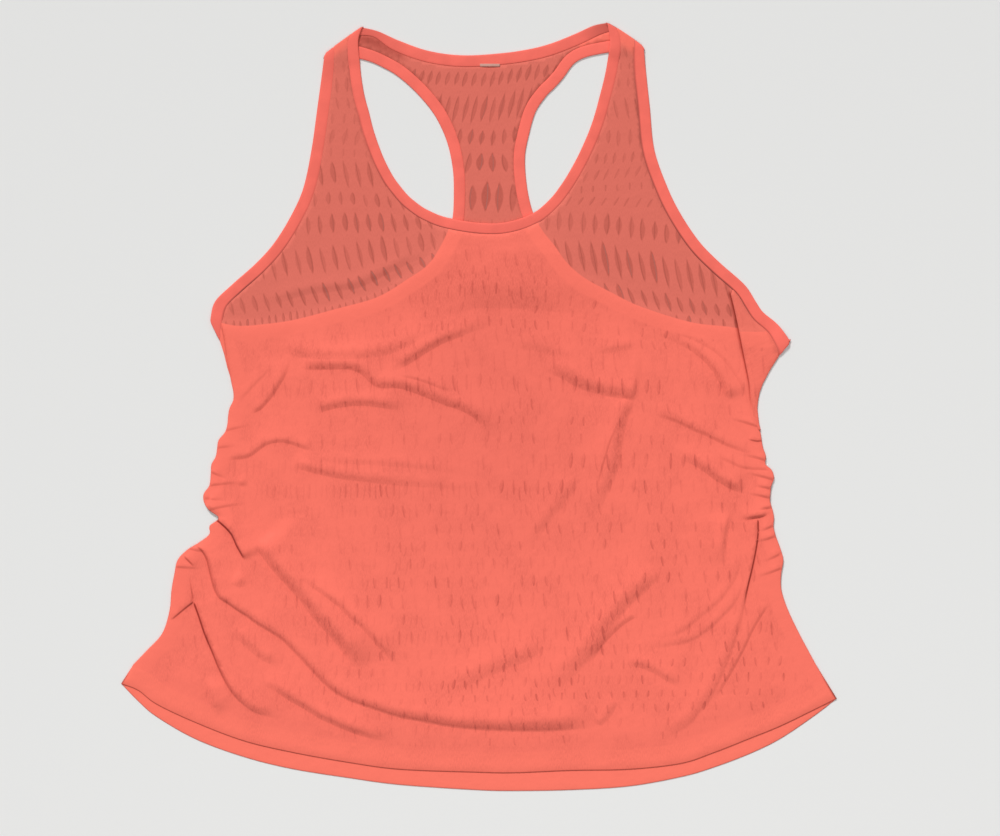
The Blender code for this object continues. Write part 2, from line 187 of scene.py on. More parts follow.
# The sides, from above the hem to below the underarm. The gathers in the side seams
# scallop them between the heights -122 and -20.
# height, left, right
SIDE_SECTIONS = [
    (-225, -302, 294.5),
    (-213, -290.5, 288),
    (-198, -277, 280),
    (-178, -270.5, 270.5),
    (-160, -268.8, 264.5),
    (-146, -266.3, 264.3),
    (-134, -263.5, 266.2),
    (-125, -255.2, 264),
    (-118, -244, 261.5),
    (-111, -235.5, 259),
    (-104, -235.5, 257.5),
    (-97, -227.5, 258),
    (-90, -236, 256.8),
    (-83, -240.5, 254.6),
    (-76, -240.6, 254.8),
    (-69, -235.8, 255.6),
    (-62, -234.7, 258),
    (-55, -234.3, 255.9),
    (-50, -233.8, 250.5),
    (-43, -230, 250.9),
    (-36, -228.9, 248.5),
    (-29, -227.6, 247.1),
    (-22, -222, 246.1),
    (-15, -219.9, 244.2),
    (-8, -219.3, 243.3),
    (-1, -218, 242.6),
    (6, -214.8, 243.3),
    (13, -214.7, 244.7),
    (20, -216.2, 247.3),
    (27, -217.6, 250.9),
    (34, -219.8, 254.7),
    (46, -222.7, 262.5),
]

# The hems. The back hangs lower than the front except at the side seams.
# x, front, back
HEM_SECTIONS = [
    (-313, -242, -242),
    (-298, -248, -257.5),
    (-282, -260, -271),
    (-248, -276, -290.5),
    (-206, -292, -306),
    (-164, -302, -316.5),
    (-114, -311, -324.5),
    (-69, -317, -330.5),
    (-3, -319.5, -335),
    (31, -320, -335.8),
    (80, -318, -335),
    (131, -317, -331.8),
    (176, -312, -323.8),
    (204, -303, -315.8),
    (237, -290, -303.3),
    (264, -279, -290),
    (295, -264, -269),
    (313, -255, -255),
]

# The front armholes, from the shoulder to the underarm.
# height, left, right
ARMHOLE_SECTIONS = [
    (290, -137.5, 146.5),
    (262, -141.3, 149.5),
    (225, -146.5, 153.5),
    (192, -153.5, 165),
    (168, -164, 177),
    (144, -178.7, 193.3),
    (126, -194.7, 211),
    (107, -216, 232.3),
    (92, -231, 242.3),
]
ARMHOLE_TAIL_RIGHT = [(248.5, 83), (261.5, 72)]

# The edge of the front neck, from each shoulder to the middle.
# height, left, right
NECK_SECTIONS = [
    (320, -105.5, 114.5),
    (300, -104, 112),
    (286, -102.5, 109.2),
    (272, -100, 105.6),
    (258, -96.2, 101.9),
    (244, -92.7, 97.3),
    (230, -88.1, 91.5),
    (216, -82.5, 84.8),
    (202, -75.2, 76.9),
    (193, -68.7, 71),
    (185, -62, 65),
    (179, -55, 59.3),
    (174, -48, 53.8),
    (170.5, -41, 49),
    (167.5, -34, 43),
    (165, -25, 37),
    (162.6, -13, 29),
    (161, 0, 20),
]
NECK_MIDDLE = (12, 160.5)

# The edge of the back neck, from left to right.
# x, height
BACK_NECK = [
    (-88, 328.5), (-70, 320.5), (-44, 311.5), (-14, 307.6), (20, 309.5), (45, 313.2),
    (64, 318.3), (84, 326.3), (100, 333.5),
]

# The back's armhole edges, in under the front from the underarm and then up beside the
# racerback to the shoulder.
# x, height
BACK_ARMHOLE_LEFT = [
    (-211, 71), (-183, 73), (-158, 77), (-124, 86), (-89, 96), (-62, 112), (-46, 123),
    (-36, 136), (-27, 154), (-23, 166), (-22, 188), (-23, 209), (-28, 232), (-38, 254),
    (-52, 272), (-68, 287), (-82, 296), (-102, 304),
]
BACK_ARMHOLE_RIGHT = [
    (226, 69), (186, 74), (141, 88), (116, 100), (92, 113), (77, 126), (66, 141),
    (55, 155), (47, 171), (42, 193), (40.3, 218), (43.5, 237), (49.6, 258), (59, 272),
    (66, 279), (74, 288), (83, 300), (94, 306), (113, 310),
]

# Where the cloth turns over. Each crease is a line between two points.
LEFT_SHOULDER = ((-135, 308), (-102, 332))
RIGHT_SHOULDER = ((144, 315), (112, 336))
LEFT_UNDERARM = ((-235, 76), (-226.5, 59.5))
RIGHT_UNDERARM = ((272.5, 57.5), (262.5, 46))
ARMHOLE_SHARE = 0.27
NECK_SHARE = 0.73

# How far below each shoulder the cloth is doubled by the seam's turnings.
SHOULDER_DOUBLED = ((LEFT_SHOULDER, 5.5), (RIGHT_SHOULDER, 9.5))

# The width of each run of binding, how much wider it is beside its last crease, and over
# what length it comes to its width on the crease.
BINDING_WIDTHS = {
    "front_left": (10.5, 0, 30), "back_left": (10, 4, 30), "front_right": (11, 0, 30),
    "back_right": (10, 0, 30), "front_neck": (10, 0, 30), "back_neck": (10, -4.3, 9),
}

# The hollow in the back neck beside the left shoulder, where painted shade lies.
BACK_SHOULDER_SHADE = [(-102, 323), (-91, 319.4), (-78, 314), (-69, 310.6)]

# How deep the shade is on the back neck's binding at each shoulder, and how far it reaches.
SHOULDER_SHADES = ((0.24, 46), (0.5, 26))

# How round the bindings' folded corners are.
CORNER_ROUNDING = {LEFT_SHOULDER[0]: 11, LEFT_SHOULDER[1]: 5.5, RIGHT_SHOULDER[0]: 12,
                   RIGHT_SHOULDER[1]: 7, LEFT_UNDERARM[0]: 14, RIGHT_UNDERARM[0]: 7}

# How dark the painted shadow along the seam is on each binding, at even steps from its start.
SEAM_SHADOWS = {
    "front_left": (0, 0.05, 0.1, 0.2, 0.55, 1.0, 0),
    "front_right": (0.3, 0.7, 0.7, 0.8, 1.0, 1.0, 0.3),
    "front_neck": (0, 0.15, 0.6, 0.9, 0.9, 0.5, 0.35, 0.2, 0.1),
}

# The side seam on the front, where the strip of the back that comes round ends.
# x, height
SIDE_SEAM = [
    (244.4, -20), (241.3, -7), (239, 6), (237.6, 21), (234, 40), (230, 60), (226, 80), (221.5, 99),
]

# The height up to which the cloth turns over at the right side, beside the armhole.
STRIP_TURN_LIMIT = 58

# The creases of the front. The cloth stands up on the left of the way that a crease runs,
# falls steeply to its foot along the line, and runs out gently behind.
# foot line, rise, steep width at the start and at the end, run out behind, share of the
# length over which it grows and dies away, how dark the painted shade along the foot is at the start and the
# end
CREASES = [
    ([(-65, 68), (-47, 75), (-25.5, 82), (-3.5, 86), (23, 86.5), (53.5, 85), (84, 82), (104, 79)],
      1.6, 22, 22, 24, 0.5, 0.3, 0, 0),
    ([(-69, 67.5), (-47, 74.5), (-25.5, 81.5), (-3.5, 85), (23, 86), (53.5, 84), (84, 81.5),
      (110, 76)], 1.9, 50, 50, 20, 0.4, 0.35, 0, 0),
    ([(-78, 32), (-65.5, 35.5), (-47, 47), (-30, 56.5), (-16.5, 61.5), (1, 68.5), (16, 71.5)],
      2.6, 7, 7, 12, 0.2, 0.5, 0.15, 0),
    ([(23, 52.5), (44.5, 50), (66.5, 44.5), (88.5, 37.5)], 1.0, 8, 8, 16, 0.3, 0.3, 0, 0),
    ([(97, 46), (114.5, 47.5), (135.5, 51)], 1.1, 6, 6, 8, 0.4, 0.1, 0, 0),
    ([(53.5, 33), (71, 26), (84, 18.5), (99, 13), (116.5, 9), (137.5, 6)],
      3.0, 12, 10, 15, 0.25, 0.05, 0, 0.2),
    ([(151.5, 65.5), (165.5, 59.5), (183, 51), (196, 41), (205.5, 30), (212.5, 17.5), (217, 5)],
      2.6, 5, 6, 10, 0.7, 0.1, 0.2, 0.1),
    ([(163, 67.5), (189, 58), (207.5, 47), (219.5, 34), (229, 19), (235.5, 2), (240.5, -18.5)],
      0.5, 3, 3, 7, 0.3, 0.3, 0.1, 0.1),
    ([(149.5, -6), (160, -9), (174, -14), (186.5, -20), (200.5, -26), (215, -33), (233, -39.5),
      (249.5, -44)], 1.5, 8, 3, 10, 0.2, 0.4, 0.2, 0.3),
    ([(165.5, -42), (179.5, -46.5), (193.5, -54), (207.5, -64), (219.5, -71), (232, -76)],
      3.0, 8, 6, 12, 0.5, 0.2, 0, 0.35),
    ([(205.5, -42), (218, -48), (232, -53.5), (254, -55)], 0.5, 3, 2.5, 7, 0.3, 0.05, 0.1, 0.3),
    ([(92, -109.5), (99, -99), (107, -86.5), (113, -73.5), (119, -60.5), (123.5, -46.5),
      (125, -32.5), (127, -20), (131, -7), (137.5, 9.5)], 2.6, 9, 9, 13, 0.6, 0.12, 0, 0.1),
    ([(39.5, -127), (51.5, -114), (64, -98), (76, -82), (86.5, -68), (94.5, -55)],
      1.4, 9, 8, 14, 0.4, 0.3, 0, 0),
    ([(-165.5, -51.5), (-149.5, -56), (-135, -59.5), (-117, -63), (-95.5, -65.5), (-73.5, -68),
      (-43, -70), (-8, -73.5), (36, -77)], 2.0, 6, 7, 12, 0.08, 0.95, 0.15, 0),
    ([(-156.5, -47), (-121.5, -49), (-86.5, -51), (-51.5, -54), (-16.5, -58.5), (14, -63)],
      0.6, 5, 5, 8, 0.3, 0.4, 0, 0),
    ([(-221.5, -47), (-212.5, -45.5), (-202, -44), (-193.5, -38.5), (-185.5, -33), (-174, -30.5),
      (-163.5, -32.5), (-154, -36), (-143.5, -38.5)], 1.3, 3.5, 3.5, 11, 0.15, 0.15, 0.25, 0.1),
    ([(-141, -5.5), (-130.5, -2), (-117, 0.5), (-104, 1.5), (-91, 0.5), (-78, -1.5), (-65.5, -5)],
      2.3, 6.5, 6.5, 12, 0.1, 0.25, 0.15, 0),
    ([(-155, 33), (-135, 33), (-113, 33), (-101.5, 28), (-89, 17.5), (-69, 16.5), (-47, 9),
      (-30, 2), (-17.5, -2), (-6, -8), (2, -16), (5, -29)], 2.4, 7, 7, 14, 0.06, 0.15, 0.3, 0.3),
    ([(-172.5, 48), (-152, 43), (-117, 42), (-86.5, 44.5), (-69, 50), (-51.5, 59.5), (-34, 71)],
      1.6, 8, 8, 14, 0.1, 0.3, 0, 0),
    ([(-73.5, 28), (-51.5, 23), (-34, 16.5), (-20, 13)], 0.7, 2.5, 2.5, 6, 0.3, 0.3, 0.1, 0.1),
    ([(-199.5, -6), (-191, -2), (-181, 9), (-175, 18), (-169, 28), (-166, 38), (-164.5, 47)],
      1.3, 3.5, 4, 9, 0.12, 0.4, 0.4, 0.2),
    ([(-211, 2), (-200.5, 14), (-189, 26), (-178, 37)], 0.6, 2.5, 3, 6, 0.3, 0.4, 0, 0),
    ([(-190, 84), (-170, 93), (-148, 99), (-126, 101.5), (-104, 105), (-82, 115.5), (-60.5, 126),
      (-37.5, 135)], 1.4, 7, 7, 10, 0.25, 0.25, 0, 0),
    ([(-241.5, -88.5), (-235.5, -93), (-229, -99), (-222, -105), (-216, -112), (-212, -121),
      (-208, -128), (-205, -134)], 3.2, 1.6, 2.6, 14, 0.02, 0.1, 1.9, 1.3),
    ([(-247, -121.5), (-241.5, -126), (-237, -134), (-233.5, -148), (-230, -160), (-226, -167),
      (-219.5, -171.5), (-212.5, -177), (-203, -183), (-193.5, -190), (-174, -202), (-163.5, -212),
      (-153, -223), (-141, -236), (-128.5, -247.5), (-113, -256.5), (-93.5, -263.5), (-72, -270.5),
      (-47, -275.5), (-21, -280), (9.5, -282.5), (44.5, -283.5), (75, -282.5), (106, -280)],
      4.4, 3.2, 14, 32, 0.05, 0.1, 0.2, 0),
    ([(-247.5, -121.5), (-242.5, -125.5), (-238, -133.5), (-234.5, -148), (-231, -160),
      (-226.5, -167.5), (-219.5, -172), (-212.5, -177), (-203, -183.5), (-193.5, -190.5)],
      0.5, 1.5, 1.5, 4, 0.06, 0.6, 0.9, 0.2),
    ([(106, -279), (114.5, -270.5), (122.5, -258)], 1.3, 5, 5, 12, 0.1, 0.1, 0, 0),
    ([(-269.5, -186.5), (-265, -183), (-258, -177), (-249.5, -170.5)],
      0.8, 1.2, 1.2, 12, 0.2, 0.02, 0.5, 0.9),
    ([(-249.5, -170.5), (-245, -183), (-240, -198), (-233.5, -213.5), (-227.5, -228.5),
      (-220.5, -242.5), (-212.5, -254), (-203, -262.5), (-193.5, -268), (-167, -275)],
      3.4, 1.3, 10, 16, 0.02, 0.3, 1.9, -0.7),
    ([(-253, -143.5), (-252, -156), (-249.5, -170.5)], 0.8, 1.2, 1.2, 8, 0.7, 0.02, 0.2, 0.7),
    ([(-258, -130.5), (-253, -135.5), (-248.5, -140)], 1.0, 1.5, 1.5, 8, 0.2, 0.4, 0.6, 0.8),
    ([(-219.5, -193.5), (-205, -208), (-190, -220.5), (-172.5, -229)], 1.8, 7, 7, 10, 0.3, 0.3, 0, 0),
    ([(-193.5, -240), (-178.5, -247.5), (-165.5, -256.5), (-152, -264), (-139, -272), (-126, -278),
      (-113, -283.5), (-95.5, -289), (-72.5, -293)], 3.2, 6, 6.5, 14, 0.2, 0.3, 0, 0.1),
    ([(-198.5, -120), (-190, -129.5), (-178.5, -144.5), (-165.5, -158.5), (-153, -173),
      (-142, -187), (-128.5, -202), (-116.5, -217), (-106, -233)], 5.6, 9, 13, 18, 0.1, 0.2, 0.1, 0),
    ([(-166.5, -144.5), (-154.5, -150.5), (-138.5, -162), (-124.5, -172.5), (-112.5, -184),
      (-100, -195), (-88, -209), (-77.5, -220.5), (-68.5, -232)],
      2.2, 4.5, 6, 10, 0.35, 0.25, 0.1, 0.1),
    ([(158.5, -292), (172.5, -286), (184.5, -277.5), (196, -264), (205, -251), (212.5, -235.5),
      (219.5, -218), (226, -198.5), (231, -179.5), (234.5, -160), (239, -141)],
      1.7, 13, 3, 13, 0.2, 0.35, 0, 0.2),
    ([(202, -260), (213.5, -244), (224, -226), (232, -211), (239, -196), (246, -184),
      (254, -171.5)], 0.8, 2.5, 2.5, 10, 0.3, 0.1, 0.25, 0.25),
    ([(141, -212.5), (165.5, -209), (184.5, -205), (199.5, -196), (211, -185.5), (222, -174),
      (229, -161), (233.5, -143.5)], 1.0, 6, 3, 9, 0.3, 0.25, 0, 0.1),
    ([(154, -204), (176, -198), (193.5, -184), (209, -171.5), (218, -160), (226, -146),
      (230, -125)], 0.8, 6, 3, 9, 0.3, 0.2, 0, 0.1),
    ([(217, -138), (216, -121), (219, -103), (224, -88.5)], 2.2, 5, 5, 10, 0.35, 0.4, 0, 0),
    ([(46.5, -254.5), (67.5, -246), (83, -234.5), (95.5, -222), (104, -211), (113, -198),
      (121.5, -187), (129.5, -176), (142, -164.5), (152, -155), (161, -144.5)],
      3.0, 17, 11, 14, 0.5, 0.1, 0, 0),
    ([(97, -225), (109.5, -206.5), (125, -191), (137.5, -183)], 1.1, 4, 4, 7, 0.3, 0.05, 0.1, 0.3),
    ([(-34, -253), (-12, -246), (9.5, -234.5), (27, -227.5), (43, -221.5), (55, -212),
      (64, -198.5)], 1.5, 13, 11, 14, 0.35, 0.3, 0, 0),
    ([(127, -225), (141, -227.5), (154, -233), (165.5, -240), (177.5, -246)],
      1.8, 6, 6, 9, 0.25, 0.3, 0.1, 0),
    ([(234.5, -28), (243, -30), (251, -29)], 0.7, 1.3, 1.3, 7, 0.3, 0.05, 0.5, 0.8),
    ([(228.5, -100), (237, -98), (247.5, -96), (254.5, -93)], 2.6, 5, 3, 9, 0.5, 0.3, 0.9, 0.8),
    ([(-241.5, -235.5), (-238, -249.5), (-234.5, -261.5), (-228.5, -272)],
      2.2, 7, 8, 9, 0.35, 0.4, 0, 0),
    ([(-212.5, -68), (-206.5, -69), (-200.5, -68)], 1.2, 5, 5, 6, 0.4, 0.4, 0.1, 0.1),
    ([(-218, -153), (-211, -156.5), (-200.5, -156)], 1.6, 7, 7, 8, 0.35, 0.4, 0.1, 0.1),
    ([(-226, 74.5), (-222.5, 58.5), (-220, 41), (-215, 19)], 0.5, 1, 1, 6, 0.1, 0.3, 0.5, 0.2),
    ([(103, -72.5), (106, -59.5), (111, -42), (114.5, -30.5), (122.5, -11.5)],
      0.3, 1.5, 1.5, 6, 0.3, 0.3, 0.3, 0.3),
    ([(231, -179.5), (234.5, -160), (239, -141), (242.5, -123.5), (244, -111), (244, -98)],
      1.3, 1.8, 1.2, 9, 0.3, 0.03, 1.2, 1.3),
]

# The short folds that the gathered side seams pull in.
# height at the seam, how far it runs in, how much it slopes, rise
GATHERS_LEFT = [
    (-21, 26, 5, 0.4), (-36, 20, 2, 0.4), (-57, 16, -6, 0.8), (-69, 34, 3, 0.6),
    (-80, 24, -2, 0.5), (-90, 38, 6, 0.6), (-124, 20, -4, 0.9), (-140, 26, -2, 0.8),
]
GATHERS_RIGHT = [
    (-18, 30, 8, 0.9), (-47, 22, 5, 0.9), (-64, 26, 6, 1.1), (-72, 16, 3, 1.2),
    (-80, 22, 4, 1.2), (-88, 14, -2, 1.3), (-104, 13, -5, 1.2), (-113, 20, -6, 1.0),
    (-128, 18, -8, 0.8), (-141, 24, -8, 0.8),
]
GATHER_DROP = 2.2
GATHER_RUN = 5.0
GATHER_FOOT_SHADE = 0.35
GATHER_FADES = (0.02, 0.7)

# The rows of slots in the knit, from the top down, each at three stations across the cloth.
# Where one number stands for several, it holds for the whole row.
# height at each station, slot length, pitch, one slot's x, lean at the first and the last
# station, slot breadth, how open the slots are at each station
LEFT_CHEST_STATIONS = (-209, -121.5, -34)
LEFT_CHEST_ROWS = [
    (312.5, 12, 8.8, -121.5, 0.1, 3.5, 0.32),
    (296.5, 11.5, 8.8, -118, 0.1, 3.5, 0.32),
    (282.5, 16, 8.3, -124, 0.05, 3.5, 0.54),
    (265, 12, 9.6, -123.5, 0.2, 3.5, 0.43),
    (253, 10.5, 9.6, -108.5, -0.1, 3.5, 0.38),
    ((247.5, 236, 225), 16.5, 10.5, -128, -0.25, 5.3, (0.49, 0.49, 0.54)),
    ((225, 223, 219.5), 8, 10.5, -129.5, 0, 3.5, 0.27),
    ((202, 204, 202), 24.5, 10.9, -116.5, (0.12, 0.25), 4.8, (0.54, 0.76, 0.86)),
    ((177.5, 184, 173), 13, 10.9, -121.5, (-0.3, 0.5), 4.8, (0.54, 0.65, 0.86)),
    ((159, 161, 158.5), 19, 10.8, -139, (-0.12, 0.35), 4.8, (0.86, 0.97, 0.86)),
    ((121.5, 129.5, 146), 29, 10.8, -158.5, 0.22, 4.6, (0.65, 0.97, 0.65)),
    ((82, 101.5, 134), 19, 10.3, -122.5, (0.3, 0.45), 4.4, (0.6, 1.3, 1.25)),
    ((75, 86, 118), 10.5, 6.2, -190, (0.1, 0.3), 2.6, (0.9, 0.76, 0.86)),
]
RIGHT_CHEST_STATIONS = (71, 141, 211)
RIGHT_CHEST_ROWS = [
    (324.5, 10.5, 7.9, 124, 0.1, 3.1, 0.32),
    (310, 12, 7.4, 128, 0.25, 3.1, 0.54),
    (298.5, 7, 7.9, 124, 0, 3.1, 0.43),
    (285, 10.5, 7.9, 122.5, 0, 4, 0.54),
    (261.5, 21, 9.2, 120, 0.2, 3.5, 0.65),
    ((233.5, 235.5, 235.5), 16, 9.6, 122.5, -0.05, 4.4, (0.54, 0.54, 0.43)),
    ((216, 218, 221.5), 11.5, 7.9, 103, -0.2, 4, (0.65, 0.54, 0.43)),
    ((198, 208, 211), 11.5, 9.2, 121, -0.5, 4.8, (0.65, 0.43, 0.43)),
    ((189, 193.5, 191.5), 7, 10.5, 121, 0, 6.6, 0.54),
    ((179.5, 181, 175), 9, 10.5, 99, -0.6, 5.3, 0.54),
    ((165.5, 155, 145), 21, 10.5, 91, (-0.06, -0.02), 5.5, (0.76, 0.97, 0.97)),
    ((132, 123.5, 104), 31.5, 10.6, 100.5, 0.2, 5.5, (0.97, 1.13, 0.97)),
    ((109.5, 94.5, 84), 18.5, 10.6, 134, (0.42, 0.3), 5.1, (0.97, 1.13, 0.97)),
    ((92, 79.5, 75), 11.5, 10.2, 194, 0.1, 5.3, (0.86, 0.86, 0.97)),
]
RACERBACK_STATIONS = (-34, 9.5, 53.5)
RACERBACK_ROWS = [
    ((321, 310.5, 321), 7, 9.6, -69, 0, 4.0, 0.3),
    ((305.5, 303.5, 307), 7, 9.6, -60.5, 0, 4.0, 0.4),
    ((289, 287, 294), 15, 7.8, -3.5, -0.3, 5.6, (0.95, 0.9, 0.9)),
    ((260, 259, 270), 28, 8, -20, -0.25, 4.8, (1.0, 0.95, 0.85)),
    ((240, 236, 243), 16, 9.5, 3, (-0.28, 0), 6.2, (1.0, 1.05, 1.0)),
    ((215, 214.5, 216), 19.5, 10.5, -9, (-0.6, 0.6), 6.4, (1.1, 1.1, 1.05)),
    ((184, 183, 184), 28, 11.5, -5, (-0.07, -0.05), 7.9, 1.25),
    (162, 5, 10.5, 1, 0, 4.0, 0.3),
]
BODY_STATIONS = (-200.5, 1, 211)
BODY_ROWS = [
    ((93.5, 135.5, 93.5), 13, 10.7, 11.5, 0, 3, (0.19, 0.44, 0.25)),
    ((76, 121, 76), 9, 10.7, 6, 0, 3, (0.19, 0.38, 0.25)),
    ((63, 106, 72), 13, 10.7, -16.5, (-0.03, 0.03), 3.2, (0.19, 0.62, 0.62)),
    ((54, 91, 66.5), 8, 10.7, 60.5, 0, 3, (0.19, 0.44, 0.62)),
    ((48, 75, 60.5), 10.5, 10.3, -1, (0, 0.03), 3.2, (0.23, 0.81, 0.75)),
    ((41, 61, 51), 9, 10.5, -25.5, (0, 0.03), 3, (0.23, 0.62, 0.62)),
    ((30.5, 44, 39.5), 19, 10.8, 11.5, (-0.01, 0.03), 3.2, (0.29, 0.56, 0.38)),
    ((16.5, 22, 13), 16.5, 10.5, 73.5, (0, 0.03), 3.6, (0.29, 0.81, 0.75)),
    ((-1, 4.5, -2), 11.5, 10.8, 25.5, 0, 3.2, (0.19, 0.62, 0.44)),
    ((-15, -10.5, -15), 9, 10.5, 18.5, -0.07, 3.2, (0.19, 0.62, 0.44)),
    ((-29, -26, -29), 11.5, 10.3, -95.5, (0.03, -0.05), 3.2, (0.29, 0.62, 0.44)),
    ((-57, -47, -47), 16.5, 10.9, 146, (0.03, 0.01), 3.6, (0.46, 0.56, 1)),
    ((-76, -72, -69), 15, 10.5, 9.5, (0.03, 0.01), 3.6, (0.38, 1, 0.62)),
    ((-92, -89, -88.5), 13, 10.7, -11.5, (0.05, 0.03), 3.2, (0.23, 0.69, 0.62)),
    ((-109.5, -107, -104), 11.5, 10.8, -58.5, (0.05, 0.04), 3.2, (0.19, 0.62, 0.62)),
    ((-125, -121.5, -120), 10.5, 10.5, -100, (0.06, 0.07), 3.2, (0.29, 0.75, 0.62)),
    ((-139, -136.5, -134), 12, 10.5, 45.5, (0.03, 0.09), 3.4, (0.29, 0.75, 0.62)),
    ((-155, -153, -148), 12, 10.7, 37.5, (0.01, 0.07), 3.6, (0.29, 0.88, 0.75)),
    ((-170.5, -170, -163.5), 14, 10.3, 78, (0.03, 0.05), 3.4, (0.33, 0.81, 0.62)),
    ((-187, -186.5, -177.5), 11.5, 10.7, -12, 0.03, 3.2, (0.29, 0.62, 0.5)),
    ((-204, -200.5, -193.5), 14, 10.5, -69, (0.01, 0.03), 3.6, (0.33, 0.75, 0.75)),
    ((-221.5, -215, -209), 10.5, 10.8, 11.5, (-0.03, 0.03), 3.6, (0.29, 0.69, 0.88)),
    ((-237, -228.5, -222), 9.5, 10.5, 64, (-0.07, 0.01), 3.6, (0.29, 0.75, 0.88)),
    ((-251, -241.5, -236), 9.5, 10.3, 71, (-0.07, 0.03), 4.2, (0.29, 0.94, 1)),
    ((-263.5, -254.5, -249.5), 7, 10.8, 8, (-0.05, 0.03), 3.6, (0.23, 0.88, 0.75)),
    ((-275.5, -267, -261), 9, 10.5, 123.5, (-0.03, 0.03), 3.6, (0.23, 0.5, 0.75)),
    ((-289.5, -281, -273), 9, 10.5, 18.5, (0, 0.03), 3.2, (0.23, 0.5, 0.62)),
    ((-305.5, -293, -285), 8, 10.8, -11.5, 0, 3.2, (0.23, 0.56, 0.5)),
]

# The height above which the back is the racerback, a slot's greatest share of breadth to
# length, how far the chart of the cloth behind is shifted, and each chart: its stations, its
# rows, the number of its first row (no two charts share one, so their chances differ) and
# how unevenly its slots show.
RACERBACK_FOOT = 150
SLOT_ROUNDEST = 0.32
BEHIND_SHIFT = (3, 5)
CHARTS = {
    "body": (BODY_STATIONS, BODY_ROWS, 100, 1.0),
    "left_chest": (LEFT_CHEST_STATIONS, LEFT_CHEST_ROWS, 200, 0.25),
    "right_chest": (RIGHT_CHEST_STATIONS, RIGHT_CHEST_ROWS, 300, 0.25),
    "racerback": (RACERBACK_STATIONS, RACERBACK_ROWS, 400, 0.25),
    "behind": (BODY_STATIONS, BODY_ROWS, 500, 1.0),
}

# ---------------------------------------------------------------- lines on the surface


def smooth_line(points, step):
    """Points about a step apart along a smooth curve through the given ones."""
    knots = [np.array(point, float) for point in points]
    knots = [2 * knots[0] - knots[1]] + knots + [2 * knots[-1] - knots[-2]]
    line = []
    for before, start, end, after in zip(knots, knots[1:], knots[2:], knots[3:]):
        count = max(1, round(float(np.linalg.norm(end - start)) / step))
        for number in range(count):
            t = number / count
            bend = (2 * before - 5 * start + 4 * end - after) * t * t
            swing = (3 * start - before - 3 * end + after) * t ** 3
            line.append((2 * start + (end - before) * t + bend + swing) / 2)
    return np.array(line + [knots[-2]])


def moved_left(line, distance):
    """The line moved sideways, to the left of its direction of travel."""
    travel = np.gradient(line, axis=0)
    travel /= np.linalg.norm(travel, axis=1)[:, None]
    return line + distance * np.stack([-travel[:, 1], travel[:, 0]], axis=1)


def lengths_along(line):
    """The distance travelled at each point of a line."""
    steps = np.linalg.norm(np.diff(line, axis=0), axis=1)
    return np.concatenate([[0], np.cumsum(steps)])


def beside(points, line):
    """How far each point is from a line, positive on its left, and the share of the
    line's length passed at the nearest place."""
    along = lengths_along(line)
    nearest = np.full(len(points), 1e9)
    side = np.ones(len(points))
    share = np.zeros(len(points))
    for number, (start, end) in enumerate(zip(line, line[1:])):
        run = end - start
        length = float(np.hypot(*run))
        if length < 1e-9:
            continue
        t = np.clip((points - start) @ run / length ** 2, 0, 1)
        gap = points - start - t[:, None] * run
        distance = np.hypot(gap[:, 0], gap[:, 1])
        nearer = distance < nearest
        nearest = np.where(nearer, distance, nearest)
        side = np.where(nearer, np.sign(run[0] * gap[:, 1] - run[1] * gap[:, 0]), side)
        share = np.where(nearer, (along[number] + t * length) / along[-1], share)
    return nearest * side, share


def inside(points, outline):
    """Whether each point lies inside a closed outline."""
    found = np.zeros(len(points), bool)
    for (x, y), (next_x, next_y) in zip(outline, np.roll(outline, -1, axis=0)):
        if y == next_y:
            continue
        crossed = (y > points[:, 1]) != (next_y > points[:, 1])
        found ^= crossed & (points[:, 0] < x + (points[:, 1] - y) / (next_y - y) * (next_x - x))
    return found


def tree_of(spots):
    """The points in a tree that finds the nearest one to a place."""
    tree = KDTree(len(spots))
    for number, (x, y) in enumerate(spots):
        tree.insert((x, y, 0), number)
    tree.balance()
    return tree


def distance_to(points, line):
    """How far each point is from a line."""
    steps = np.maximum(1, np.ceil(np.linalg.norm(np.diff(line, axis=0), axis=1) / DISTANCE_STEP)).astype(int)
    spots = [start + (end - start) * number / count
             for start, end, count in zip(line, line[1:], steps) for number in range(count)]
    tree = tree_of([*spots, line[-1]])
    return np.array([tree.find((x, y, 0))[2] for x, y in points])


def closed(outline):
    """An outline's points, with the first again at the end."""
    return np.concatenate([outline, outline[:1]])


def depth_inside(points, outline):
    """The distance from an outline's edge, positive inside it."""
    distance = distance_to(points, closed(outline))
    return np.where(inside(points, outline), distance, -distance)


def soft_step(value):
    """0 below 0, 1 above 1, and smooth between."""
    value = np.clip(value, 0, 1)
    return value * value * (3 - 2 * value)


def edge_points(sections, column):
    """One edge in a table of sections, as places on the surface."""
    return [(row[column], row[0]) for row in sections]


def side_line(column, step):
    """The left (1) or right (2) side, from the hem upwards."""
    return smooth_line(edge_points(SIDE_SECTIONS, column), step)


def hem_line(column, step):
    """The hem of the front (1) or of the back (2), from left to right."""
    return smooth_line([(row[0], row[column]) for row in HEM_SECTIONS], step)


def share_point(crease, share):
    """A point part of the way along a crease."""
    first, last = np.array(crease[0], float), np.array(crease[1], float)
    return first + (last - first) * share


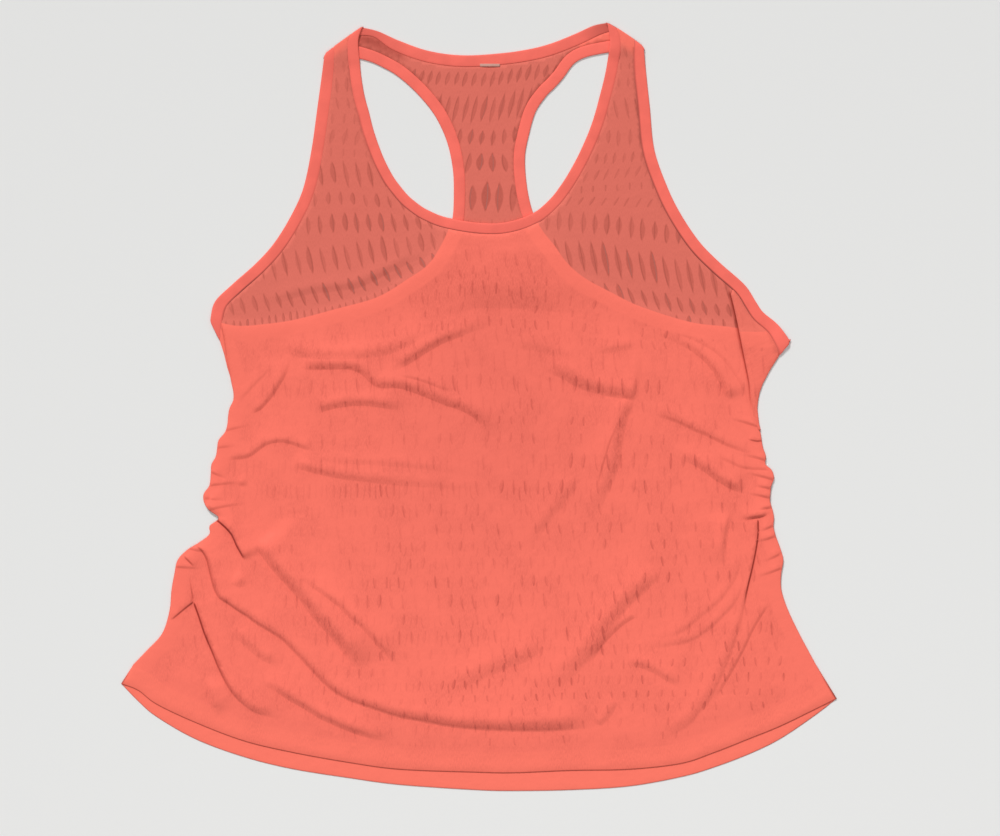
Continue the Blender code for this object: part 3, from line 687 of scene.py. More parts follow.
def binding_run(edge, side, first_inner, last_inner, width, swell, last_ease):
    """The free edge and the sewn edge of a stretch of binding, between two creases, and the
    side of the free edge on which the cloth is."""
    outer = smooth_line(edge, BINDING_STEP)
    along = lengths_along(outer)
    widths = width + swell * np.exp(-((along[-1] - along - SWELL_PLACE) / SWELL_REACH) ** 2)
    inner = moved_left(outer, side * widths[:, None])
    start_share = np.clip(1 - along / CREASE_EASE, 0, 1) ** 2
    end_share = np.clip(1 - (along[-1] - along) / last_ease, 0, 1) ** 2
    shift_first = np.array(first_inner) - inner[0]
    shift_last = np.array(last_inner) - inner[-1]
    inner = inner + start_share[:, None] * shift_first + end_share[:, None] * shift_last
    return outer, inner, side


def runs_of_binding():
    """Every run of binding by name, as its free edge, its sewn edge and its cloth's side."""
    left, left_neck, right, right_neck = (
        share_point(crease, share) for crease in (LEFT_SHOULDER, RIGHT_SHOULDER)
        for share in (ARMHOLE_SHARE, NECK_SHARE)
    )
    right_edge = edge_points(ARMHOLE_SECTIONS, 2) + ARMHOLE_TAIL_RIGHT
    neck_edge = edge_points(NECK_SECTIONS, 1) + [NECK_MIDDLE] + edge_points(NECK_SECTIONS, 2)[::-1]
    plan = {
        "front_left": ([LEFT_SHOULDER[0], *edge_points(ARMHOLE_SECTIONS, 1), LEFT_UNDERARM[0]],
                       1, left, LEFT_UNDERARM[1]),
        "back_left": ([LEFT_UNDERARM[0], *BACK_ARMHOLE_LEFT, LEFT_SHOULDER[0]],
                      -1, LEFT_UNDERARM[1], left),
        "front_right": ([RIGHT_SHOULDER[0], *right_edge, RIGHT_UNDERARM[0]],
                        -1, right, RIGHT_UNDERARM[1]),
        "back_right": ([RIGHT_UNDERARM[0], *BACK_ARMHOLE_RIGHT, RIGHT_SHOULDER[0]],
                       1, RIGHT_UNDERARM[1], right),
        "front_neck": ([LEFT_SHOULDER[1], *neck_edge, RIGHT_SHOULDER[1]], -1, left_neck, right_neck),
        "back_neck": ([RIGHT_SHOULDER[1], *BACK_NECK[::-1], LEFT_SHOULDER[1]], 1, right_neck, left_neck),
    }
    return {name: binding_run(*row, *BINDING_WIDTHS[name]) for name, row in plan.items()}


def sewn_line(run):
    """The edge of the panel beside a run of binding, tucked a little way into it."""
    return moved_left(run[1], -run[2] * BINDING_TUCK)


def cut_near(line, point):
    """A line's points before and after the one nearest to a point."""
    nearest = int(np.argmin(np.linalg.norm(line - np.array(point), axis=1)))
    return line[:nearest], line[nearest + 1:]


def right_turn_x(height):
    """Where the cloth turns over at the right side, also beside the armhole."""
    rows = [(row[0], row[2]) for row in SIDE_SECTIONS] + [(STRIP_TURN_LIMIT, RIGHT_UNDERARM[0][0])]
    heights, places = np.array(rows).T
    return np.interp(height, heights, places)


# ---------------------------------------------------------------- how the cloth lies


def crease_lines():
    """Every crease as a smooth foot line with its rise, steep widths, run out, fades and
    crispness. The gathers begin at the side seams."""
    found = [(smooth_line(row[0], CREASE_STEP), *row[1:]) for row in CREASES]
    table = np.array(SIDE_SECTIONS)
    for rows, column, inward in ((GATHERS_LEFT, 1, 1), (GATHERS_RIGHT, 2, -1)):
        for height, reach, slope, rise in rows:
            edge = np.interp(height, table[:, 0], table[:, column])
            ends = [(edge, height), (edge + inward * reach / 2, height + slope * 0.6),
                    (edge + inward * reach, height + slope)]
            fades = GATHER_FADES
            foot_shade = (GATHER_FOOT_SHADE, 0)
            if inward < 0:
                ends, fades, foot_shade = ends[::-1], fades[::-1], foot_shade[::-1]
            found.append((smooth_line(ends, CREASE_STEP), rise, GATHER_DROP, GATHER_DROP, GATHER_RUN,
                          *fades, *foot_shade))
    return found


def creased(points, lines):
    """How far the creases lift the cloth at each point, how much painted shade lies along
    their feet, and how much painted shade darkens the slots on their slopes."""
    lift = np.zeros(len(points))
    painted_shade = np.zeros(len(points))
    drawn = np.zeros(len(points))
    for line, rise, drop_start, drop_end, run_out, grows, dies, foot_shade_start, foot_shade_end in lines:
        broadest = max(drop_start, drop_end)
        reach = 4 * run_out + broadest
        low, high = line.min(axis=0) - reach, line.max(axis=0) + reach
        near = np.flatnonzero(((points > low) & (points < high)).all(axis=1))
        distance, share = beside(points[near], line)
        drop = drop_start * (drop_end / drop_start) ** share
        climb = np.sin(np.clip(distance / drop, 0, 1) * math.pi / 2)
        behind = np.exp(-np.clip(distance - drop, 0, None) / run_out)
        fade = soft_step(share / grows) * soft_step((1 - share) / dies)
        lift[near] += rise * np.sqrt(drop / broadest) * climb * behind * fade
        # The foot's shade is a narrow bell beside the line, a drawn slope's a broad one on it.
        foot_shade = (foot_shade_start + (foot_shade_end - foot_shade_start) * share) * fade
        at_foot = np.exp(-((distance - 0.15 * drop) / (0.6 + 0.1 * drop)) ** 2)
        painted_shade[near] = np.maximum(painted_shade[near], foot_shade * at_foot)
        # The painted shade along the foot is a narrow bell beside the line, the painted shade that darkens a
        # slope's slots a broad one on it.
        on_slope = np.exp(-((distance / drop - 0.4) / 0.5) ** 2) * min(1, rise / 2.5)
        drawn[near] = np.maximum(drawn[near], on_slope * fade)
    return lift, painted_shade, drawn


def rest_height(points, back_outline):
    """How high the front's cloth lies on what is under it, the surface, the back's cloth or,
    a little higher, the binding along the back's edge; and how far inside that edge it is."""
    depth = depth_inside(points, back_outline)
    # Up beside the binding in 7 mm, down from it again over 26 mm of the back's cloth.
    on_edge = soft_step((depth + 7) / 7) * (1 - soft_step((depth - BINDING_WIDTH + 4) / 26))
    on_cloth = soft_step((depth + 5) / 10)
    height = BACK_MIDDLE + (ON_BACK - BACK_MIDDLE) * on_cloth
    return height + (ON_BINDING - ON_BACK) * on_edge, depth


def outward(crease):
    """The way out of the garment across a shoulder crease."""
    run = np.array(crease[1], float) - np.array(crease[0], float)
    across = np.array([-run[1], run[0]]) / np.hypot(*run)
    return across if across[1] > 0 else -across


def shoulder_edge(crease, reach):
    """The edge of a panel over a shoulder crease, from the armhole to the neck."""
    return [share_point(crease, share) + reach * outward(crease) for share in (ARMHOLE_SHARE, NECK_SHARE)]


def shoulder_spots():
    """Points that let a panel's cloth turn smoothly over the shoulder creases."""
    return [share_point(crease, share) + beyond * outward(crease)
            for crease in (LEFT_SHOULDER, RIGHT_SHOULDER) for beyond in SHOULDER_ROWS
            for share in np.linspace(0.25, 0.75, 9)]


def turned_over(points, height, top):
    """The heights of a panel with its edges turned round over the shoulder creases, and
    raised (top 1) or left lying (top 0) on the way there."""
    for crease in (LEFT_SHOULDER, RIGHT_SHOULDER):
        beyond = (points - np.array(crease[0])) @ outward(crease)
        near = np.linalg.norm(points - share_point(crease, 0.5), axis=1) < SHOULDER_NEAR[1]
        ease = np.where(near, 1 - soft_step(-beyond / SHOULDER_CLIMB), 0) * top
        height = height + (np.maximum(CREASE_TOP - BINDING_SINK, height) - height) * ease
        share = np.clip(beyond / SHOULDER_REACH, 0, 1)
        turned = np.where(near, 1 - np.sqrt(1 - share * share), 0)
        height = height + (CREASE_MIDDLE - height) * turned
    return height


# ---------------------------------------------------------------- the knit's slots


def slot_chart(points, middles, stations, rows, first_row, wildness):
    """Where each point falls in the rows of slots: its column and row as a pattern position,
    and the length, breadth, openness and wildness of the slots there. The row is the one in
    which the middle of the point's face lies."""
    x, y = points.T
    ends = (stations[0], stations[-1])
    lengths = [row[1] for row in rows]
    centres, middle_centres = (
        [np.interp(places, stations, np.broadcast_to(row[0], 3)) for row in rows]
        for places in (x, middles[:, 0])
    )

    def row_edges(heights):
        edges = [heights[0] + lengths[0] / 2 + 2]
        for above, below, upper, lower in zip(heights, heights[1:], lengths, lengths[1:]):
            edges.append((above - upper / 2 + below + lower / 2) / 2)
        return [*edges, heights[-1] - lengths[-1] / 2 - 2]

    edges, middle_edges = row_edges(centres), row_edges(middle_centres)
    place = np.zeros((len(points), 2))
    place[:, 1] = first_row
    shape = np.zeros((len(points), 4))
    for number, (row, centre) in enumerate(zip(rows, centres)):
        length, pitch, known_x, leans, breadth, open_shares = row[1:]
        breadth = min(breadth, SLOT_ROUNDEST * length)
        top, foot = edges[number], edges[number + 1]
        chosen = (middles[:, 1] <= middle_edges[number]) & (middles[:, 1] > middle_edges[number + 1])
        tall = np.maximum(top - foot, 1)
        lean = np.interp(x, ends, np.broadcast_to(leans, 2))
        column = (x - known_x + lean * (y - centre)) / pitch + 0.5
        openness = np.interp(x, stations, np.broadcast_to(open_shares, 3))
        place[chosen] = np.stack([column, first_row + number + (top - y) / tall], axis=1)[chosen]
        shape[chosen] = np.stack([
            np.minimum(length / tall / 2, 0.48), np.full(len(x), breadth / pitch / 2),
            openness, np.full(len(x), wildness)], axis=1)[chosen]
    return place, shape


def knit_patterns(spots, faces, backing):
    """The charts of slots at the corners of a panel's faces: its own, and the mirrored one
    of the cloth behind. The front gives what is behind it; the back gives None."""
    points = spots[faces.ravel()]
    middles = np.repeat(spots[faces].mean(axis=1), 3, axis=0)
    place, shape = slot_chart(points, middles, *CHARTS["body"])
    if backing is None:
        areas = {"racerback": middles[:, 1] > RACERBACK_FOOT}
    else:
        sheer = np.repeat(backing[faces].mean(axis=1) < SHEER_BACKING, 3)
        on_left = middles[:, 0] < NECK_MIDDLE[0]
        areas = {"left_chest": sheer & on_left, "right_chest": sheer & ~on_left}
    for chart, area in areas.items():
        own_place, own_shape = slot_chart(points, middles, *CHARTS[chart])
        place[area], shape[area] = own_place[area], own_shape[area]
    mirrored = [spot * (-1, 1) + BEHIND_SHIFT for spot in (points, middles)]
    behind, behind_shape = slot_chart(*mirrored, *CHARTS["behind"])
    behind_shape[:, 2] = np.minimum(behind_shape[:, 2], shape[:, 2])
    return place, shape, behind, behind_shape


# ---------------------------------------------------------------- meshes


def lattice(outline, spacing, fixed):
    """Points a spacing apart inside an outline, clear of its edge and of fixed points."""
    low, high = outline.min(axis=0), outline.max(axis=0)
    row_height = spacing * math.sqrt(3) / 2
    rows = np.arange(int((high[1] - low[1]) / row_height) + 1)
    columns = np.arange(int((high[0] - low[0]) / spacing) + 2)
    across, up = np.meshgrid(columns, rows)
    x = low[0] + (across - up % 2 / 2) * spacing
    y = low[1] + (up + 0.5) * row_height
    spots = np.stack([x.ravel(), y.ravel()], axis=1)
    spots = spots[inside(spots, outline)]
    tree = tree_of(fixed)
    return [spot for spot in spots if tree.find((*spot, 0))[2] > spacing * LATTICE_GAP]


def thin_out(spots, gap):
    """The points, leaving out those too near to one already kept."""
    kept = {}
    for x, y in spots:
        cell = (int(x // gap), int(y // gap))
        around = [kept.get((cell[0] + i, cell[1] + j)) for i in (-1, 0, 1) for j in (-1, 0, 1)]
        if all(spot is None or math.dist(spot, (x, y)) > gap for spot in around):
            kept[cell] = (x, y)
    return np.array(list(kept.values()))


def cut_panel(outline, spacing, extra):
    """A flat panel cut along its outline: its points and its triangles."""
    spacing *= 1
    spots = thin_out(extra, POINT_GAP)
    spots = spots[depth_inside(spots, outline) > EDGE_GAP]
    fixed = np.concatenate([outline, spots])
    points = np.concatenate([fixed, lattice(outline, spacing, fixed)])
    around = [(number, (number + 1) % len(outline)) for number in range(len(outline))]
    flat = [Vector((float(x), float(y))) for x, y in points]
    cut = delaunay_2d_cdt(flat, around, [list(range(len(outline)))], 1, 1e-5)
    return np.array([tuple(spot) for spot in cut[0]]), np.array(cut[2])


def linked(name, mesh):
    """A new object of a mesh, in the scene."""
    piece = bpy.data.objects.new(name, mesh)
    bpy.context.scene.collection.objects.link(piece)
    return piece


def finished(name, bm, material):
    """A new object of a worked mesh, smooth and of one material."""
    mesh = bpy.data.meshes.new(name)
    bm.to_mesh(mesh)
    bm.free()
    mesh.shade_smooth()
    mesh.materials.append(material)
    return linked(name, mesh)


def thickened(piece, thickness):
    """The modifier that gives a piece a wall, half of it to each side."""
    thick = piece.modifiers.new("wall", "SOLIDIFY")
    thick.thickness = thickness * MM
    thick.offset = 0
    return thick


def cloth_panel(name, places, faces, flat, charts, measures, walls, material):
    """A panel's object, with its charts of slots as UV maps and its measures as attributes."""
    mesh = bpy.data.meshes.new(name)
    mesh.from_pydata([tuple(place) for place in places * MM], [], faces.tolist())
    mesh.update()
    place, shape, behind, behind_shape = charts
    for label, values in (("slots", place), ("slots_behind", behind), ("cloth", flat[faces.ravel()] / 100)):
        pattern = mesh.uv_layers.new(name=label)
        pattern.data.foreach_set("uv", values.astype(np.float32).ravel())
    for label, values in (("leaf", shape), ("leaf_behind", behind_shape)):
        colours = mesh.attributes.new(label, "FLOAT_COLOR", "CORNER")
        colours.data.foreach_set("color", values.astype(np.float32).ravel())
    for label, values in measures.items():
        mesh.attributes.new(label, "FLOAT", "POINT").data.foreach_set("value", values.astype(np.float32))
    mesh.materials.append(material)
    piece = linked(name, mesh)
    group = piece.vertex_groups.new(name="wall")
    for number, wall in enumerate(walls):
        group.add([number], float(wall / HEM_CLOTH), "REPLACE")
    thick = thickened(piece, HEM_CLOTH)
    thick.vertex_group = "wall"
    thick.thickness_vertex_group = 0
    mesh.shade_smooth()
    return piece


def front_panel(runs, back_outline, lines, material):
    """The front: straps, scooped neck and gathered sides, with all its creases."""
    left_side = side_line(1, EDGE_STEP)[::-1]
    below_seam = cut_near(side_line(2, EDGE_STEP), SIDE_SEAM[0])[0]
    seam = smooth_line(SIDE_SEAM, EDGE_STEP)
    hem = hem_line(1, EDGE_STEP)
    sewn = sewn_line(runs["front_right"])
    above_strip = sewn[:len(cut_near(sewn, seam[-1])[0]) + 1]
    outline = np.concatenate([
        hem, below_seam, moved_left(seam, SEAM_GAP), above_strip[::-1],
        shoulder_edge(RIGHT_SHOULDER, SHOULDER_REACH), sewn_line(runs["front_neck"])[::-1],
        shoulder_edge(LEFT_SHOULDER, SHOULDER_REACH)[::-1], sewn_line(runs["front_left"]), left_side,
    ])
    extra = shoulder_spots()
    for name, side in (("back_left", -1), ("back_right", 1)):
        for offset in ARMHOLE_ROWS:
            extra += list(moved_left(runs[name][0], side * offset))
    for offset in EDGE_ROWS:
        extra += list(moved_left(hem, offset)) + list(moved_left(left_side, offset))
        extra += list(moved_left(below_seam, offset))
    for offset in SEAM_ROWS:
        extra += list(moved_left(smooth_line(SIDE_SEAM, SEAM_STEP), offset))
    for line, _, drop_start, drop_end, *_ in lines:
        fine = smooth_line(line[::2], FOOT_STEP)
        narrowest = min(drop_start, drop_end)
        for offset in (-1.0, 0.0, narrowest * 0.5, narrowest):
            extra += list(moved_left(fine, offset))
    flat, faces = cut_panel(outline, FRONT_SPACING, np.array(extra))

    rest, backing = rest_height(flat, back_outline)
    for crease, doubled in SHOULDER_DOUBLED:
        near = np.linalg.norm(flat - share_point(crease, 0.5), axis=1) < SHOULDER_NEAR[0]
        below = (np.array(crease[0]) - flat) @ outward(crease)
        backing = np.where(near, np.clip((doubled - below) * SHOULDER_FADE, -1, 1), backing)
    edge = distance_to(flat, closed(outline))
    from_hem = distance_to(flat, hem)
    from_sides = np.minimum(distance_to(flat, left_side), distance_to(flat, below_seam))
    lift, painted_shade, drawn = creased(flat, lines)
    from_strip, up_seam = beside(flat, moved_left(seam, STRIP_LAP))
    # Painted shadow: a fine dark line beside the side seam, under the strip's edge, and one under the
    # front's hem edge.
    at_seam = np.exp(-((from_strip - 0.3) / np.interp(up_seam, *SEAM_SHADE_REACHES)) ** 2)
    painted_shade = np.maximum(painted_shade, at_seam * np.interp(up_seam, *SEAM_SHADES))
    painted_shade = np.maximum(painted_shade, np.exp(-(from_hem / HEM_SHADE_REACH) ** 2) * HEM_SHADE)
    # Painted shade dulls the middle of the front, fading out towards the hem.
    middle = np.exp(-((flat[:, 0] - SHADED_MIDDLE_X) / SHADED_MIDDLE_BREADTH) ** 2)
    measures = {"backing": backing, "from_hem": from_hem, "from_sides": from_sides, "painted_shade": painted_shade,
                "drawn": drawn, "middle": middle * soft_step((flat[:, 1] + 200) / 150)}

    # It lies on what is under it, a little puffed up in the middle, with its creases on top;
    # both are less along its edges, and at the hem it lies down again.
    puff = PUFF * soft_step(edge / PUFF_EDGE) * soft_step((backing - PUFF_FROM) / PUFF_OVER)
    free = EDGE_FREEDOM + (1 - EDGE_FREEDOM) * soft_step(edge / EDGE_SETTLES)
    height = rest + (puff + lift) * free
    height = turned_over(flat, height, 1)
    walls = np.where(from_hem < HEM_DEPTH, np.interp(from_hem, (0, 3), (HEM_EDGE, HEM_CLOTH)), CLOTH)
    lying = BACK_MIDDLE + (BACK_HEM_CLOTH + HEM_EDGE) / 2 + 0.1
    height = height + (np.minimum(height, lying) - height) * (1 - soft_step(from_hem / HEM_SETTLES))
    return cloth_panel("front_panel_cloth", np.column_stack([flat, height]), faces, flat,
                       knit_patterns(flat, faces, backing), measures, walls, material)


def back_outline_flat(runs):
    """The whole edge of the back where it lies on the surface, bindings and all."""
    return np.concatenate([
        hem_line(2, EDGE_STEP), side_line(2, EDGE_STEP), runs["back_right"][0], runs["back_neck"][0],
        runs["back_left"][0][::-1], side_line(1, EDGE_STEP)[::-1],
    ])


def back_panel(runs, back_outline, front_edge, lines, material):
    """The back: the racerback, the body and the strip that turns over to the front. It is
    cut flat, with the strip opened out beyond the side, and then the strip is turned over."""
    left_side = side_line(1, EDGE_STEP)[::-1]
    below_seam = cut_near(side_line(2, EDGE_STEP), SIDE_SEAM[0])[0]
    seam = moved_left(smooth_line(SIDE_SEAM, EDGE_STEP), STRIP_LAP)
    hem = hem_line(2, EDGE_STEP)
    sewn = sewn_line(runs["front_right"])
    strip = np.concatenate([seam, sewn[len(cut_near(sewn, seam[-1])[0]) - 1:]])
    turns = right_turn_x(strip[:, 1])
    unrolled = np.stack([2 * turns - strip[:, 0] + math.pi * TURN_RADIUS, strip[:, 1]], axis=1)
    foot = seam[0][1]
    eighths = [eighth / 8 * math.pi * TURN_RADIUS for eighth in range(9)]
    turn_foot = np.array([(right_turn_x(foot) + beyond, foot) for beyond in eighths[:-1:2]])
    outline = np.concatenate([
        hem, below_seam, turn_foot, unrolled, sewn_line(runs["back_right"]),
        shoulder_edge(RIGHT_SHOULDER, SHOULDER_REACH),
        sewn_line(runs["back_neck"]), shoulder_edge(LEFT_SHOULDER, SHOULDER_REACH)[::-1],
        sewn_line(runs["back_left"])[::-1], left_side,
    ])
    extra = shoulder_spots() + [spot for offset in EDGE_ROWS for line in (hem, left_side)
                                for spot in moved_left(line, offset)]
    for height in np.arange(foot + TURN_STEP, RIGHT_UNDERARM[1][1] - 0.5, TURN_STEP):
        extra += [(right_turn_x(height) + beyond, height) for beyond in eighths]
    flat, faces = cut_panel(outline, BACK_SPACING, np.array(extra))

    # How far beyond the side each point is, and where it comes to lie on the front.
    turn = right_turn_x(flat[:, 1])
    beyond = np.where(flat[:, 1] > foot - 0.1, flat[:, 0] - turn, -1)
    angle = np.clip(beyond / TURN_RADIUS, 0, math.pi)
    past = np.clip(beyond - math.pi * TURN_RADIUS, 0, None)
    x = np.where(beyond <= 0, flat[:, 0], turn + TURN_RADIUS * np.sin(angle) - past)
    seen = np.column_stack([x, flat[:, 1]])
    turned = (1 - np.cos(angle)) / 2
    top = np.maximum(rest_height(seen, back_outline)[0], ON_BACK)
    on_front = 1 - soft_step((distance_to(seen, seam) - 1) / 8)
    lap = (CLOTH + 0.1) * (0.15 + 0.85 * soft_step((seen[:, 1] - foot) / LAP_GROWS))
    top = top + lap * on_front
    lift, painted_shade, drawn = creased(seen, lines)
    on_top = soft_step((beyond - 8) / 10)
    height = BACK_MIDDLE + (top - BACK_MIDDLE) * turned + lift * on_top
    height = np.where(turned > 0, height, turned_over(seen, height, 0))
    from_hem = distance_to(flat, hem)
    walls = np.where(from_hem < HEM_DEPTH, np.interp(from_hem, (0, 2), (HEM_EDGE, BACK_HEM_CLOTH)), CLOTH)
    height = height + np.where(turned > 0, 0, (walls - CLOTH) / 2)

    # Painted shade in the hollow of the back neck beside the left shoulder.
    from_hollow = distance_to(seen, np.array(BACK_SHOULDER_SHADE, float))
    shaded = np.exp(-(from_hollow / BACK_SHADE_REACH) ** 2) * BACK_SHADE
    at_right_shoulder = np.where(seen[:, 1] > BACKED_SHOULDER_FOOT, (seen[:, 0] - BACKED_SHOULDER_X) / 2, -9)
    under_front = np.maximum(depth_inside(seen, front_edge), np.minimum(at_right_shoulder, 4))
    measures = {
        "backing": np.where(turned > 0.5, np.interp(seen[:, 1], *STRIP_BACKING), under_front),
        "from_hem": from_hem,
        "from_sides": distance_to(flat, left_side),
        "painted_shade": np.maximum(painted_shade * on_top, shaded),
        "drawn": drawn * on_top,
    }
    return cloth_panel("back_panel_cloth", np.column_stack([seen, height]), faces, flat,
                       knit_patterns(seen, faces, None), measures, walls, material)


def rounded(place, corner, out, away, radius, reach):
    """A place on a binding, drawn in where it lies outside a folded corner's rounding. The
    way out across the crease and the way along the free edge give the corner's shape."""
    inward = Vector((-away.y, away.x))
    if inward.dot(out) > 0:
        inward = -inward
    crease = Vector((-out.y, out.x))
    if crease.dot(inward) < 0:
        crease = -crease
    in_reach = reach - radius
    centre = corner + out * in_reach
    centre += crease * ((radius - in_reach * out.dot(inward)) / crease.dot(inward))
    gap = place - centre
    toward_edge = -inward + out * inward.dot(out)
    toward_crease = out - inward * out.dot(inward)
    outside = gap.dot(toward_edge) > 0 and gap.dot(toward_crease) > 0 and gap.length > radius
    return centre + gap.normalized() * radius if outside else place


def binding_rows(front_run, back_run, back_outline, seam_shadow):
    """A binding's rows, along the front run, over a crease, back along the other run and
    over the crease where it began: the free and the sewn edge, the height, how dark the
    painted shadow along the seam is and the way that the row faces. Also a folded corner's shape at each
    crease."""
    middle = np.concatenate([front_run[0], back_run[0]]).mean(axis=0)
    centre = (front_run[0] + front_run[1]) / 2
    rest = np.maximum(rest_height(front_run[0], back_outline)[0], rest_height(centre, back_outline)[0])
    rest = rest + BINDING_SINK
    along = lengths_along(centre)
    ends = np.minimum(along, along[-1] - along)
    rest = rest + (CREASE_TOP - rest) * (1 - soft_step(ends / CREASE_CLIMB))
    shown = np.interp(along / along[-1], np.linspace(0, 1, len(seam_shadow)), seam_shadow)
    rows = [(*row, Vector((0, 0, 1))) for row in zip(front_run[0], front_run[1], rest, shown)]

    def way_out(outer, inner):
        across = inner - outer
        out = Vector((-across[1], across[0])).normalized()
        return -out if out.dot(Vector(outer - middle)) < 0 else out

    def turn(outer, inner, angles):
        out = way_out(outer, inner)
        for degrees in angles:
            turned = math.radians(degrees)
            shift = CREASE_RADIUS * math.cos(turned) * np.array(out)
            facing = Vector((*(math.cos(turned) * out), math.sin(turned)))
            height = CREASE_MIDDLE + CREASE_RADIUS * math.sin(turned)
            rows.append((outer + shift, inner + shift, height, 0, facing))

    turn(front_run[0][-1], front_run[1][-1], TURN_ANGLES)
    rows += [(outer, inner, BACK_BINDING_MIDDLE, 0, Vector((0, 0, -1)))
             for outer, inner in zip(back_run[0], back_run[1])]
    turn(front_run[0][0], front_run[1][0], TURN_ANGLES[::-1])
    corners = []
    for front_end, front_near, back_near in ((0, 4, -5), (-1, -5, 4)):
        at = front_run[0][front_end]
        rounding = next(value for spot, value in CORNER_ROUNDING.items() if math.dist(spot, at) < 1)
        corners.append((Vector(at), way_out(at, front_run[1][front_end]),
                        Vector(front_run[0][front_near] - at).normalized(),
                        Vector(back_run[0][back_near] - at).normalized(), rounding))
    return rows, corners


def binding(name, front_name, front_run, back_run, back_outline, material):
    """A binding, a rounded strip in one loop, with painted shadow along its seam on the front.
    The back neck's has painted shade by the shoulders.
    """
    rows, corners = binding_rows(front_run, back_run, back_outline, SEAM_SHADOWS[front_name])
    bm = bmesh.new()
    bmesh.ops.create_grid(bm, x_segments=len(rows), y_segments=BINDING_AROUND, size=0.5)
    seam = bm.verts.layers.float.new("seam")
    for vert in bm.verts:
        row = round((vert.co.x + 0.5) * len(rows)) % len(rows)
        turned = 2 * math.pi * (round((vert.co.y + 0.5) * BINDING_AROUND) % BINDING_AROUND) / BINDING_AROUND
        outer, inner, height, shows, facing = rows[row]
        free, sewn = Vector((*outer, height)), Vector((*inner, height))
        # Round a flat ring: nearly straight across its faces and blunt at its edges.
        across = math.copysign(abs(math.cos(turned)) ** RING_ACROSS, math.cos(turned))
        through = math.copysign(abs(math.sin(turned)) ** RING_THROUGH, math.sin(turned))
        share = 0.5 - across / 2
        sewn_wall = BACK_SEWN_WALL if facing.z < 0 else BINDING_SEWN_WALL
        wall = BINDING_WALL + (sewn_wall - BINDING_WALL) * share ** 2
        place = free.lerp(sewn, share) + facing * ((through * wall + facing.z * (wall - BINDING_WALL)) / 2)
        for corner, out, away_front, away_back, rounding in corners:
            if (place.xy - corner).length < 1.5 * rounding:
                away = (away_front * (1 + facing.z) + away_back * (1 - facing.z)).normalized()
                reach = CREASE_RADIUS + wall / 2
                place = Vector((*rounded(place.xy, corner, out, away, rounding, reach), place.z))
        vert.co = place * MM
        # Painted shade on the back neck's binding by the shoulders, and painted shadow along the seam on the
        # front.
        shaded = [0]
        if facing.z < 0 and front_name == "front_neck":
            shaded = [depth * (1 - (place.xy - corner[0]).length / reach)
                      for corner, (depth, reach) in zip(corners, SHOULDER_SHADES)]
        vert[seam] = max(*shaded, shows * soft_step((-across - 0.72) / 0.15))
    bmesh.ops.remove_doubles(bm, verts=bm.verts, dist=1e-7)
    bmesh.ops.recalc_face_normals(bm, faces=bm.faces)
    return finished(name, bm, material)


def size_label(material):
    """The tab of the size label, a folded loop of tape under the back neck binding."""
    bm = bmesh.new()
    bmesh.ops.create_grid(bm, x_segments=18, y_segments=6, size=0.5)
    for vert in bm.verts:
        x, y = (middle + place * size for middle, place, size in zip(LABEL_MIDDLE, vert.co, LABEL_SIZE))
        rise = LABEL_MIDDLE[2] + 0.2 * math.cos(vert.co.x * 5) + 0.15 * math.sin(vert.co.y * 6)
        vert.co = Vector((x, y, rise)) * MM
    piece = finished("neck_label_tab", bm, material)
    thickened(piece, LABEL_TAPE)
    return piece


# ---------------------------------------------------------------- materials


class Nodes:
    """A short way to write a material's nodes."""

    def __init__(self, tree):
        self.tree = tree

    def add(self, kind, **settings):
        node = self.tree.nodes.new(kind)
        for key, value in settings.items():
            setattr(node, key, value)
        return node

    def plug(self, value, socket):
        """Link a socket to another, or set it to a number or colour."""
        if isinstance(value, bpy.types.NodeSocket):
            self.tree.links.new(value, socket)
        else:
            socket.default_value = value

    def filled(self, kind, values, **settings):
        """A new node with these values plugged in, each by its input's name or number."""
        node = self.add(kind, **settings)
        for label, value in values.items():
            self.plug(value, node.inputs[label])
        return node

    def math(self, operation, first, second=0.0, third=0.0, clamp=False):
        values = {0: first, 1: second, 2: third}
        return self.filled("ShaderNodeMath", values, operation=operation, use_clamp=clamp).outputs[0]

    def times(self, first, second):
        return self.math("MULTIPLY", first, second)

    def times_plus(self, first, second, third, clamp=False):
        """The first times the second, plus the third."""
        return self.math("MULTIPLY_ADD", first, second, third, clamp)

    def minus(self, first, second):
        return self.math("SUBTRACT", first, second)

    def unsigned(self, value):
        return self.math("ABSOLUTE", value)

    def attribute(self, name):
        return self.add("ShaderNodeAttribute", attribute_name=name).outputs["Fac"]

    def ramp(self, value, low, high):
        """0 where the value is low or less, 1 where it is high or more."""
        values = {"Value": value, "From Min": low, "From Max": high}
        return self.filled("ShaderNodeMapRange", values, interpolation_type="SMOOTHSTEP").outputs[0]

    def mix(self, share, first, second, blend="MIX"):
        values = {0: share, 6: first, 7: second}
        return self.filled("ShaderNodeMix", values, data_type="RGBA", blend_type=blend).outputs[2]

    def noise(self, place, scale, detail):
        values = {"Vector": place, "Scale": scale, "Detail": detail}
        return self.filled("ShaderNodeTexNoise", values).outputs["Fac"]


def new_material(name):
    """A new material, its nodes and its surface."""
    material = bpy.data.materials.new(name)
    material.use_nodes = True
    return material, Nodes(material.node_tree), material.node_tree.nodes["Principled BSDF"]


def knit_surface(n, shader, colour, roughness, relief, strength, depth):
    """The colour, soft sheen and relief of knitted cloth."""
    bump = n.filled("ShaderNodeBump", {"Height": relief, "Strength": strength, "Distance": depth})
    for label, value in (
        ("Base Color", colour), ("Normal", bump.outputs[0]), ("Roughness", roughness),
        ("Specular IOR Level", 0.25), ("Sheen Weight", 0.15), ("Sheen Roughness", 0.5),
    ):
        n.plug(value, shader.inputs[label])


